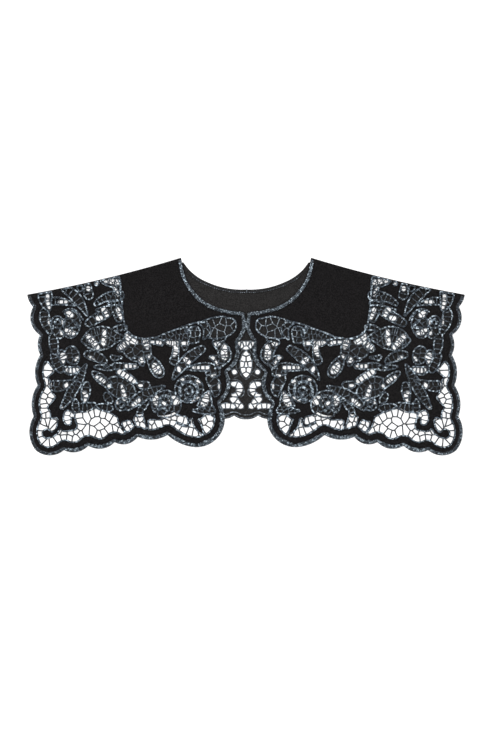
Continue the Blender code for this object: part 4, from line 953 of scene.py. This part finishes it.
class Threads:
    """Round threads that are gathered into one mesh."""

    def __init__(self, sides):
        self.sides = sides
        self.corners, self.faces, self.count = [], [], 0

    def lay(self, points, radius, closed, flat=1.0):
        """A thread through points, round or a little flat."""
        beside_it, above = across(points, closed)
        angles = np.arange(self.sides) * math.tau / self.sides
        ring = (np.cos(angles)[None, :, None] * beside_it[:, None]
                + flat * np.sin(angles)[None, :, None] * above[:, None])
        self.corners.append((points[:, None] + radius * MM * ring).reshape(-1, 3))
        rows, sides = len(points), self.sides
        i, j = np.meshgrid(np.arange(rows if closed else rows - 1), np.arange(sides), indexing="ij")
        ahead, turn = (i + 1) % rows, (j + 1) % sides
        quads = np.stack([i * sides + j, ahead * sides + j, ahead * sides + turn, i * sides + turn], axis=-1)
        self.faces += (quads.reshape(-1, 4) + self.count).tolist()
        if not closed:
            self.faces.append([self.count + k for k in range(sides)])
            self.faces.append([self.count + (rows - 1) * sides + k for k in reversed(range(sides))])
        self.count += rows * sides

    def twisted(self, points, closed, strand=CORD_STRAND, pitch=CORD_TWIST):
        """Two strands twisted round each other along points."""
        beside_it, above = across(points, closed)
        along = np.concatenate([[0], np.cumsum(np.linalg.norm(np.diff(points, axis=0), axis=1))])
        whole = along[-1] + (np.linalg.norm(points[0] - points[-1]) if closed else 0)
        turns = max(1, round(whole / (pitch * MM)))
        for half in (0, math.pi):
            angle = (math.tau * turns * along / whole + half)[:, None]
            centre = points + strand * MM * 0.8 * (np.cos(angle) * beside_it + np.sin(angle) * above)
            self.lay(centre, strand, closed)

    def piece(self, name, material):
        made = mesh_piece(name, np.concatenate(self.corners), self.faces, material)
        made.data.polygons.foreach_set("use_smooth", [True] * len(made.data.polygons))
        return made


def mesh_piece(name, corners, faces, material):
    """A piece of the scene from its corners and faces."""
    mesh = bpy.data.meshes.new(name)
    mesh.from_pydata(corners.tolist(), [], faces)
    mesh.materials.append(material)
    mesh.update()
    piece = bpy.data.objects.new(name, mesh)
    bpy.context.scene.collection.objects.link(piece)
    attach(piece, "root")
    return piece


def laid_cloth(name, node, faces, points, side, material):
    """A cloth of its own thickness, in a CAD node's stead, from triangles and their places."""
    cloth = mesh_piece(name, points, (faces[:, ::-1] if side < 0 else faces).tolist(), material)
    bpy.ops.object.select_all(action="DESELECT")
    bpy.context.view_layer.objects.active = cloth
    cloth.select_set(True)
    shell = cloth.modifiers.new("cloth thickness", "SOLIDIFY")
    shell.thickness = SHELL * MM
    shell.offset = 0
    bpy.ops.object.modifier_apply(modifier=shell.name)
    bpy.ops.object.shade_smooth_by_angle(angle=math.radians(35))
    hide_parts(node)
    return cloth


def fill_points(low, high, spacing):
    """Points in staggered rows over a rectangle."""
    places = []
    for row, y in enumerate(np.arange(low[1], high[1], spacing * ROW_STEP)):
        shift = spacing / 2 if row % 2 else 0
        places += [(x + shift, y) for x in np.arange(low[0], high[0], spacing)]
    return np.array(places)


def hole_loops(x, y, field):
    """Smoothed closed paths round all openings but the smallest."""
    return [softened(path, True) for path in trace_loops(x, y, field)
            if np.hypot(*(path - np.roll(path, 1, axis=0)).T).sum() > SHORTEST_LOOP]


def cut_front(x, y, field, loops):
    """A front cloth drawn along its fold: corners, faces and its area."""
    outline = front_outline()
    flat = fill_points((-5, 4), (203, 245), CLOTH_POINT)
    places = np.stack(from_fold(*flat.T), axis=1)
    clear = (sample(x, y, field, places) > CLEAR) & (polygon_distance(*places.T, front_edge()) < -CLEAR)
    rolled = np.array([(u, a) for a in np.arange(FRONT_SEAM + ROLL_POINT, 4, ROLL_POINT)
                       for u in np.arange(2, 196, 2.5)])
    fills = np.concatenate([flat[clear], rolled[polygon_distance(*rolled.T, outline) < -0.5]])

    def solid_at(places):
        in_plane = from_fold(places[:, 0], np.maximum(places[:, 1], FOLD_RADIUS))
        return sample(x, y, field, np.stack(in_plane, axis=1))

    holes = [np.stack(to_fold(*simple_loop(loop).T), axis=1) for loop in loops]
    return cloth_pieces(outline, holes, fills, solid_at)


def cut_back(x, y, field, loops):
    """The back cloth: corners, faces and its area."""
    flat = fill_points((-272, -80), (272, 125), CLOTH_POINT * 1.3)
    clear = (sample(x, y, field, flat) > CLEAR) & (polygon_distance(*flat.T, BACK_SHAPE) < -CLEAR)
    return cloth_pieces(BACK_SHAPE, [simple_loop(loop) for loop in loops], flat[clear],
                        lambda places: sample(x, y, field, places))


def outline_cords(threads, loops, x, y, field, lay, thin=None, flat=1.0):
    """Cords beside the openings' edges: twisted pairs, or one flat thread where thin is given."""
    for loop in loops:
        path = evenly(loop, 1.0 if thin else CORD_POINT, True)
        moved = beside(path, CORD_OFFSET, True)
        if sample(x, y, field, moved).mean() < 0:
            moved = beside(path, -CORD_OFFSET, True)
        if thin:
            threads.lay(lay(moved), thin, True, flat)
        else:
            threads.twisted(lay(moved), True)


def lay_net(threads, runs, lay, radius, flat=0.8):
    """Net threads along paths, a little flat."""
    for path, closed in runs:
        threads.lay(lay(evenly(path, NET_POINT, closed)), radius, closed, flat)


def in_fan(path):
    """Whether a net's bar lies in the fan below the neck."""
    out, up = path.mean(axis=0)
    return out < FAN_PLACE[0] and up > FAN_PLACE[1]


def line_path(row, count):
    """The bowed line in a row of a table of cords."""
    return np.stack([quadratic(*row[1::2], count), quadratic(*row[2::2], count)], axis=1)


def trim_path():
    """A front's trimmed edge along and in from its fold, from its tip to its neck."""
    path = edge_from_fold()
    return np.array([(path[0][0], FOLD_RADIUS / 2)] + path + [(path[-1][0], FOLD_RADIUS / 2)])


def trim_breadth(places):
    """Share of the trim that is stitched: less at notches and along the side, most down the front edge."""
    x, y = from_fold(places[:, 0], places[:, 1])
    notches = np.array([row[:2] for row in FRONT_EDGE[:16]])
    near = np.hypot(x[:, None] - notches[:, 0], y[:, None] - notches[:, 1]).min(axis=1)
    full = 0.2 * (y < -60) + 0.22 * np.exp(-((x - 50) / 15) ** 2) * (y < -85)
    full = full + 0.3 * (x < 30) * np.clip((34 - y) / 10, 0, 1)
    return (1 - 0.5 * np.clip((x - 228) / 14, 0, 1)) * (0.74 + (0.26 + full) * np.clip(near / 9, 0, 1))


def trim_loops(threads, dull_threads, side, width, pitch, lift, seed):
    """One row of small thread loops along the trim, mixed with loops of a duller thread."""
    rng = np.random.default_rng(PATTERN_SEED + seed)
    spacing = pitch / LOOP_POINTS
    path = softened(evenly(trim_path(), 0.5, False), False, 3)
    path = evenly(softened(beside(path, -width / 2 - 0.1, False), False, 3), spacing, False)
    along = np.arange(len(path)) * spacing
    turn = math.tau * along / pitch
    loops = int(along[-1] / pitch) + 2
    size = np.interp(along / pitch, np.arange(loops), rng.uniform(0.75, 1.1, loops))
    shift = np.interp(along / pitch, np.arange(loops), rng.uniform(-0.3, 0.3, loops))
    ahead = np.gradient(path, axis=0)
    ahead /= np.maximum(np.hypot(*ahead.T), 1e-9)[:, None]
    inward = np.stack([-ahead[:, 1], ahead[:, 0]], axis=1)
    half = width / 2 - TRIM_THREAD
    breadth = trim_breadth(path)
    x, y = from_fold(path[:, 0], path[:, 1])
    # The two fronts' trims meet below the neck, so both lean outwards there
    meeting = 1.4 * np.exp(-((y - 40) / 8) ** 2) * (x < 12)
    beside_path = half * (size * breadth * np.sin(turn) - 0.9 * (1 - breadth)) + shift * breadth - meeting
    places = path + inward * beside_path[:, None] + ahead * (LOOP_SWING * np.cos(turn))[:, None]
    points = on_front(places, lift, side)
    points[:, 2] += (LOOP_RISE * np.cos(turn * 2 + 0.6) - 0.5 * np.clip(beside_path - 1.8, 0, 1)) * MM
    laid = (along > TRIM_TAPER * 0.5) & (along < along[-1] - TRIM_TAPER * 0.5)
    # Nearly all dull along the side, more than half along the hem, the least round the neck
    dull_share = np.where(x > 236, 0.92, np.where(y < 40, 0.66, 0.3))
    dull = rng.uniform(size=loops)[(along / pitch).astype(int)] < dull_share
    for gathered, keep in ((threads, laid & ~dull), (dull_threads, laid & dull)):
        for run, _ in kept_runs(points, keep, False):
            gathered.lay(run, TRIM_THREAD, False)


def trim_band(name, side, material):
    """The close band under a front's trim loops, crowned across its width and thin at its ends."""
    path = softened(evenly(trim_path(), BAND_POINT, False), False, 1)
    along = np.arange(len(path)) * BAND_POINT
    ends = np.clip(np.minimum(along, along[-1] - along) / TRIM_TAPER, 0.1, 1)
    base = BAND_SECTION[0][1]
    rows = [on_front(beside(path, -offset, False), base + (lift - base) * ends, side)
            for offset, lift in BAND_SECTION]
    count, sides = len(path), len(BAND_SECTION)
    turns = [(j, (j + 1) % sides) for j in range(sides)]
    faces = [[i * sides + j, i * sides + k, (i + 1) * sides + k, (i + 1) * sides + j]
             for i in range(count - 1) for j, k in turns]
    faces += [list(reversed(range(sides))), [(count - 1) * sides + j for j in range(sides)]]
    band = mesh_piece(name, np.stack(rows, axis=1).reshape(-1, 3), faces, material)
    shape = bmesh.new()
    shape.from_mesh(band.data)
    bmesh.ops.recalc_face_normals(shape, faces=shape.faces)
    shape.to_mesh(band.data)
    shape.free()
    return band


def add(tree, kind, values=None, **settings):
    """A node with its settings. Each value goes to its input, as a link where it is an output."""
    made = tree.nodes.new(kind)
    for key, value in settings.items():
        setattr(made, key, value)
    for key, value in (values or {}).items():
        if isinstance(value, bpy.types.NodeSocket):
            tree.links.new(value, made.inputs[key])
        else:
            made.inputs[key].default_value = value
    return made


def new_group(name, scale, outputs):
    """A node group with a place and a scale going in, and numbers coming out."""
    tree = bpy.data.node_groups.new(name, "ShaderNodeTree")
    tree.interface.new_socket("Place", in_out="INPUT", socket_type="NodeSocketVector")
    tree.interface.new_socket(scale, in_out="INPUT", socket_type="NodeSocketFloat")
    for output in outputs:
        tree.interface.new_socket(output, in_out="OUTPUT", socket_type="NodeSocketFloat")
    return tree, add(tree, "NodeGroupInput").outputs


def weave_group():
    """Plain weave: relief of the crossing threads, and an uneven shade."""
    tree, given = new_group("Plain weave", "Threads", ("Relief", "Shade"))
    scaled = {0: given["Place"], "Scale": given["Threads"]}
    place = add(tree, "ShaderNodeVectorMath", scaled, operation="SCALE").outputs[0]
    wave = {"Vector": place, "Scale": 1, "Distortion": 0.6, "Detail": 1}
    warp, weft = (add(tree, "ShaderNodeTexWave", wave, bands_direction=way).outputs["Fac"] for way in "XY")
    uneven = {"Vector": place, "Scale": 1.6, "Detail": 3, "Roughness": 0.6}
    slub = add(tree, "ShaderNodeTexNoise", uneven).outputs["Fac"]
    crossed = add(tree, "ShaderNodeMath", {0: warp, 1: weft}, operation="SUBTRACT").outputs[0]
    relief = add(tree, "ShaderNodeMath", {0: crossed}, operation="ABSOLUTE").outputs[0]
    raised = add(tree, "ShaderNodeMath", {0: slub, 1: 0.8, 2: relief}, operation="MULTIPLY_ADD").outputs[0]
    add(tree, "NodeGroupOutput", {"Relief": raised, "Shade": slub})
    return tree


def glitter_group():
    """Metal flecks in a twisted yarn: how bright each fleck is, and its relief."""
    tree, given = new_group("Glitter flecks", "Flecks", ("Fleck", "Relief"))
    cells = add(tree, "ShaderNodeTexVoronoi",
                {"Vector": given["Place"], "Scale": given["Flecks"], "Randomness": 1}).outputs
    parts = add(tree, "ShaderNodeSeparateColor", {0: cells["Color"]}).outputs
    add(tree, "NodeGroupOutput", {"Fleck": parts[0], "Relief": cells["Distance"]})
    return tree


def shaded(name, values):
    """A new material, and its shader with some values set."""
    material = bpy.data.materials.new(name)
    material.use_nodes = True
    shader = material.node_tree.nodes["Principled BSDF"]
    for key, value in values.items():
        shader.inputs[key].default_value = value
    return material, shader


def finish_surface(tree, shader, share, stops, height, strength, distance):
    """Links a shader's colour, through stops (position, red, green, blue), and its relief."""
    ramp = add(tree, "ShaderNodeValToRGB", {0: share})
    elements = ramp.color_ramp.elements
    while len(elements) < len(stops):
        elements.new(0.5)
    for element, (position, *colour) in zip(elements, stops):
        element.position = position
        element.color = (*colour, 1)
    tree.links.new(ramp.outputs[0], shader.inputs["Base Color"])
    bump = add(tree, "ShaderNodeBump", {"Strength": strength, "Distance": distance * MM, "Height": height})
    tree.links.new(bump.outputs[0], shader.inputs["Normal"])


def cloth_material(name, dark, light, thread, relief, roughness, specular):
    """Woven cloth between a dark and a light shade, with threads of a width in millimetres."""
    material, shader = shaded(name, {"Roughness": roughness, "Specular IOR Level": specular})
    tree = material.node_tree
    place = add(tree, "ShaderNodeTexCoord").outputs["Object"]
    values = {"Place": place, "Threads": WAVE_PERIOD / thread}
    weave = add(tree, "ShaderNodeGroup", values, node_tree=WEAVE).outputs
    stops = ((0.42, *dark), (0.6, *light))
    finish_surface(tree, shader, weave["Shade"], stops, weave["Relief"], 0.6, relief)
    return material


def glitter_material(name, fleck, relief, metallic, roughness, *stops):
    """Yarn with flecks of a size in millimetres, whose colours run through the stops."""
    material, shader = shaded(name, {"Metallic": metallic, "Roughness": roughness, "Specular IOR Level": 0.4})
    tree = material.node_tree
    place = add(tree, "ShaderNodeTexCoord").outputs["Object"]
    values = {"Place": place, "Flecks": 1 / (fleck * MM)}
    flecks = add(tree, "ShaderNodeGroup", values, node_tree=GLITTER).outputs
    finish_surface(tree, shader, flecks["Fleck"], stops, flecks["Relief"], 0.8, relief)
    return material


WEAVE = weave_group()
GLITTER = glitter_group()
BLACK_CLOTH = cloth_material(
    "black cloth", (0.0022, 0.0020, 0.0022), (0.0108, 0.0100, 0.0104), 0.55, 0.06, 0.95, 0.08)
INNER_FACE = cloth_material(
    "cloth inner face", (0.0075, 0.0072, 0.0072), (0.0215, 0.0205, 0.0205), 0.7, 0.08, 0.95, 0.12)
TAPE = cloth_material("neck tape", (0.008, 0.008, 0.009), (0.02, 0.02, 0.021), 0.5, 0.08, 0.9, 0.15)
TRIM_GLITTER = glitter_material(
    "trim glitter", 1.15, 0.12, 0.45, 0.32,
    (0.0, 0.008, 0.011, 0.014), (0.42, 0.032, 0.041, 0.051), (0.74, 0.11, 0.14, 0.17), (1.0, 0.6, 0.7, 0.78))
TRIM_DULL = glitter_material(
    "dull trim thread", 1.6, 0.15, 0.4, 0.35,
    (0.0, 0.005, 0.007, 0.009), (0.45, 0.018, 0.023, 0.03),
    (0.78, 0.065, 0.085, 0.105), (1.0, 0.4, 0.47, 0.53))
TRIM_GROUND = glitter_material(
    "trim band", 0.9, 0.1, 0.3, 0.5,
    (0.0, 0.003, 0.004, 0.005), (0.7, 0.012, 0.015, 0.019), (1.0, 0.08, 0.1, 0.13))
CORD_GLITTER = glitter_material(
    "cording glitter", 1.6, 0.12, 0.45, 0.32,
    (0.0, 0.006, 0.008, 0.010), (0.42, 0.028, 0.036, 0.046), (0.74, 0.09, 0.118, 0.15), (1.0, 0.6, 0.7, 0.78))
NET_GLITTER = glitter_material(
    "net thread", 1.5, 0.06, 0.35, 0.4,
    (0.0, 0.008, 0.010, 0.013), (0.5, 0.03, 0.038, 0.048), (1.0, 0.17, 0.21, 0.25))
# A brighter copy of the net thread for the fan below the neck, which lies over the dark back cloth: painted
# light
FAN_THREAD_PAINTED_LIGHT = glitter_material(
    "fan net thread with painted light", 1.5, 0.06, 0.3, 0.4,
    (0.0, 0.03, 0.038, 0.047), (0.5, 0.12, 0.145, 0.17), (1.0, 0.45, 0.52, 0.58))
# A darker copy of the net thread for the open ground, which lies over the bright floor: painted shade, as of
# a thread seen against the light
GROUND_THREAD_PAINTED_SHADE = glitter_material(
    "ground net thread with painted shade", 1.3, 0.06, 0.2, 0.5,
    (0.0, 0.004, 0.005, 0.006), (0.6, 0.012, 0.015, 0.02), (1.0, 0.06, 0.08, 0.1))
INNER_CORD = glitter_material(
    "wrong side of the cording", 1.5, 0.08, 0.25, 0.45,
    (0.0, 0.012, 0.014, 0.017), (0.4, 0.04, 0.047, 0.056), (0.8, 0.11, 0.13, 0.15), (1.0, 0.3, 0.35, 0.4))

BACK_SHAPE = back_outline()
coarse = np.meshgrid(np.arange(-2, 278.0), np.arange(-128, 128.0))
BEYOND_BACK = (*coarse, polygon_distance(*coarse, BACK_SHAPE))

# The front cloths and their threads
x, y, field, bars, ground_bars, seams = front_cutwork()
loops = hole_loops(x, y, field)
bars = clip_paths(bars, x, y, field, 0.5)
fan_bars = [run for run in bars if in_fan(run[0])]
bars = [run for run in bars if not in_fan(run[0])]
ground_bars = clip_paths(ground_bars, x, y, field, 0.5)
seams = [run for run in clip_paths(seams, x, y, field, 0.3) if len(run[0]) > 3]
corners, faces, area = cut_front(x, y, field, loops)
for side, word in ((-1, "left"), (1, "right")):
    laid = on_front(corners, 0.0, side)
    cloth = laid_cloth(f"front_{word}_cloth", "front_" + word, faces, laid, side, BLACK_CLOTH)
    net, fan_net, ground = Threads(5), Threads(5), Threads(5)
    level = front_lay(side, NET_LIFT)
    lay_net(net, bars, level, NET_RADIUS)
    lay_net(fan_net, fan_bars, level, FAN_NET_RADIUS)
    lay_net(ground, ground_bars, level, GROUND_NET_RADIUS)
    net = net.piece(f"front_{word}_net", NET_GLITTER)
    # The fan's net takes the brighter copy of the net thread: painted light
    fan_net = fan_net.piece(f"front_{word}_fan_net", FAN_THREAD_PAINTED_LIGHT)
    # The ground's net takes the darker copy of the net thread: painted shade
    ground = ground.piece(f"front_{word}_ground_net", GROUND_THREAD_PAINTED_SHADE)
    cords = Threads(4)
    outline_cords(cords, loops, x, y, field, front_lay(side, CORD_LIFT))
    for path, closed in seams:
        cords.twisted(front_lay(side, SEAM_LIFT)(evenly(softened(path, closed), CORD_POINT, closed)), closed)
    for row in FRONT_LINES:
        cords.twisted(front_lay(side, LINE_LIFT)(evenly(line_path(row, 40), CORD_POINT, False)), False)
    cords = cords.piece(f"front_{word}_cording", CORD_GLITTER)
    band = trim_band(f"edge_trim_{word}_band", side, TRIM_GROUND)
    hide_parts("edge_trim_" + word)
    yarn, dull_yarn = Threads(4), Threads(4)
    for row in TRIM_ROWS:
        trim_loops(yarn, dull_yarn, side, *row)
    yarn = yarn.piece(f"edge_trim_{word}_loops", TRIM_GLITTER)
    dull_yarn = dull_yarn.piece(f"edge_trim_{word}_side_loops", TRIM_DULL)

# The back and its threads
x, y, field, bars, seams = back_cutwork()
both = np.concatenate([field[:, :0:-1], field], axis=1)
x_both, y_both = np.meshgrid(np.concatenate([-x[0][:0:-1], x[0]]), y[:, 0])
loops = hole_loops(x_both, y_both, both)
bars = clip_paths(bars, x, y, field, 0.5)
seams = [run for run in clip_paths(seams, x, y, field, 0.3) if len(run[0]) > 3]
corners, faces, area = cut_back(x_both, y_both, both, loops)
back = laid_cloth("back_cloth", "back", faces, back_lay(1, 0.0)(corners), 1, INNER_FACE)
net, cords = Threads(5), Threads(5)
on_back = back_lay(1, BACK_CORD_LIFT)
outline_cords(cords, loops, x_both, y_both, both, on_back, thin=BACK_CORD, flat=0.5)
for side in (-1, 1):
    lay_net(net, bars, back_lay(side, 0.0), BACK_NET_RADIUS, flat=0.6)
    for path, closed in seams:
        cords.lay(back_lay(side, 0.0)(evenly(path, 1.0, closed)), BACK_SEAM_CORD, closed, flat=0.6)
hem = np.array([point for point in back_hem_edge() if point[0] < 50])
hem = evenly(np.concatenate([hem, hem[-2::-1] * (-1, 1)]), 1, False)
for inset in (1.4, 5.6):
    path = evenly(softened(beside(hem, inset, False), False), 0.8, False)
    cords.twisted(on_back(path), False, HEM_STRAND, FINE_TWIST)
for row in BACK_LINES:
    for mirror in (-1, 1):
        path = evenly(line_path(row, 30) * (mirror, 1), 0.8, False)
        cords.twisted(on_back(path), False, LINE_STRAND, FINE_TWIST)
net = net.piece("back_net", INNER_CORD)
cords = cords.piece("back_cording", INNER_CORD)

# The tape inside the back's neckline
tape = bpy.data.objects["back_neck_tape"]
tape.data.materials.clear()
tape.data.materials.append(TAPE)
neck = np.array([point for point in back_neck_edge() if point[0] < NECK_TAPE_REACH - 6])
neck = np.concatenate([neck[:0:-1] * (-1, 1), neck])
neck = evenly(beside(neck, NECK_TAPE_WIDTH - 0.2, False), 0.55, False)
stitches = Threads(5)
on_tape = back_lay(1, TAPE_LIFT)
for start in range(0, len(neck) - 3, 5):
    stitches.lay(on_tape(neck[start:start + 4]), STITCH, False, flat=0.8)
centre_tack = np.array([(0.9, 84.4 - k) for k in np.arange(0, 4.1, 0.8)])
stitches.lay(on_tape(centre_tack), CENTRE_TACK, False, flat=0.8)
stitches.piece("neck_tape_stitches", INNER_CORD)

# Floor, light and camera
bpy.ops.object.select_all(action="DESELECT")
bpy.ops.mesh.primitive_plane_add(size=24, location=(0, 0, -0.0004))
floor = bpy.context.object
floor.name = "floor"
pale = {"Base Color": (0.5, 0.5, 0.5, 1), "Roughness": 0.9, "Emission Color": (1, 1, 1, 1)}
floor.data.materials.append(shaded("pale floor", {**pale, "Emission Strength": 0.62})[0])

world = bpy.data.worlds.new("studio")
bpy.context.scene.world = world
world.use_nodes = True
world.node_tree.nodes["Background"].inputs["Color"].default_value = (1, 1, 1, 1)
world.node_tree.nodes["Background"].inputs["Strength"].default_value = 0.9
LIGHTS = (("key light", (-1.2, 1.4, 2.2), 1.6, 60), ("fill light", (1.6, -0.8, 2.4), 2.0, 30))
for name, place, size, power in LIGHTS:
    lamp = bpy.data.lights.new(name, "AREA")
    lamp.shape = "DISK"
    lamp.size = size
    lamp.energy = power
    light = bpy.data.objects.new(name, lamp)
    light.location = place
    light.rotation_euler = (-Vector(place)).to_track_quat("-Z", "Y").to_euler()
    bpy.context.scene.collection.objects.link(light)

eye = bpy.data.cameras.new("photo camera")
eye.lens = 72.6
camera = bpy.data.objects.new("photo camera", eye)
camera.location = (0.0050, -0.0238, 1.9)
bpy.context.scene.collection.objects.link(camera)
bpy.context.scene.camera = camera
bpy.context.scene.view_settings.view_transform = "Standard"
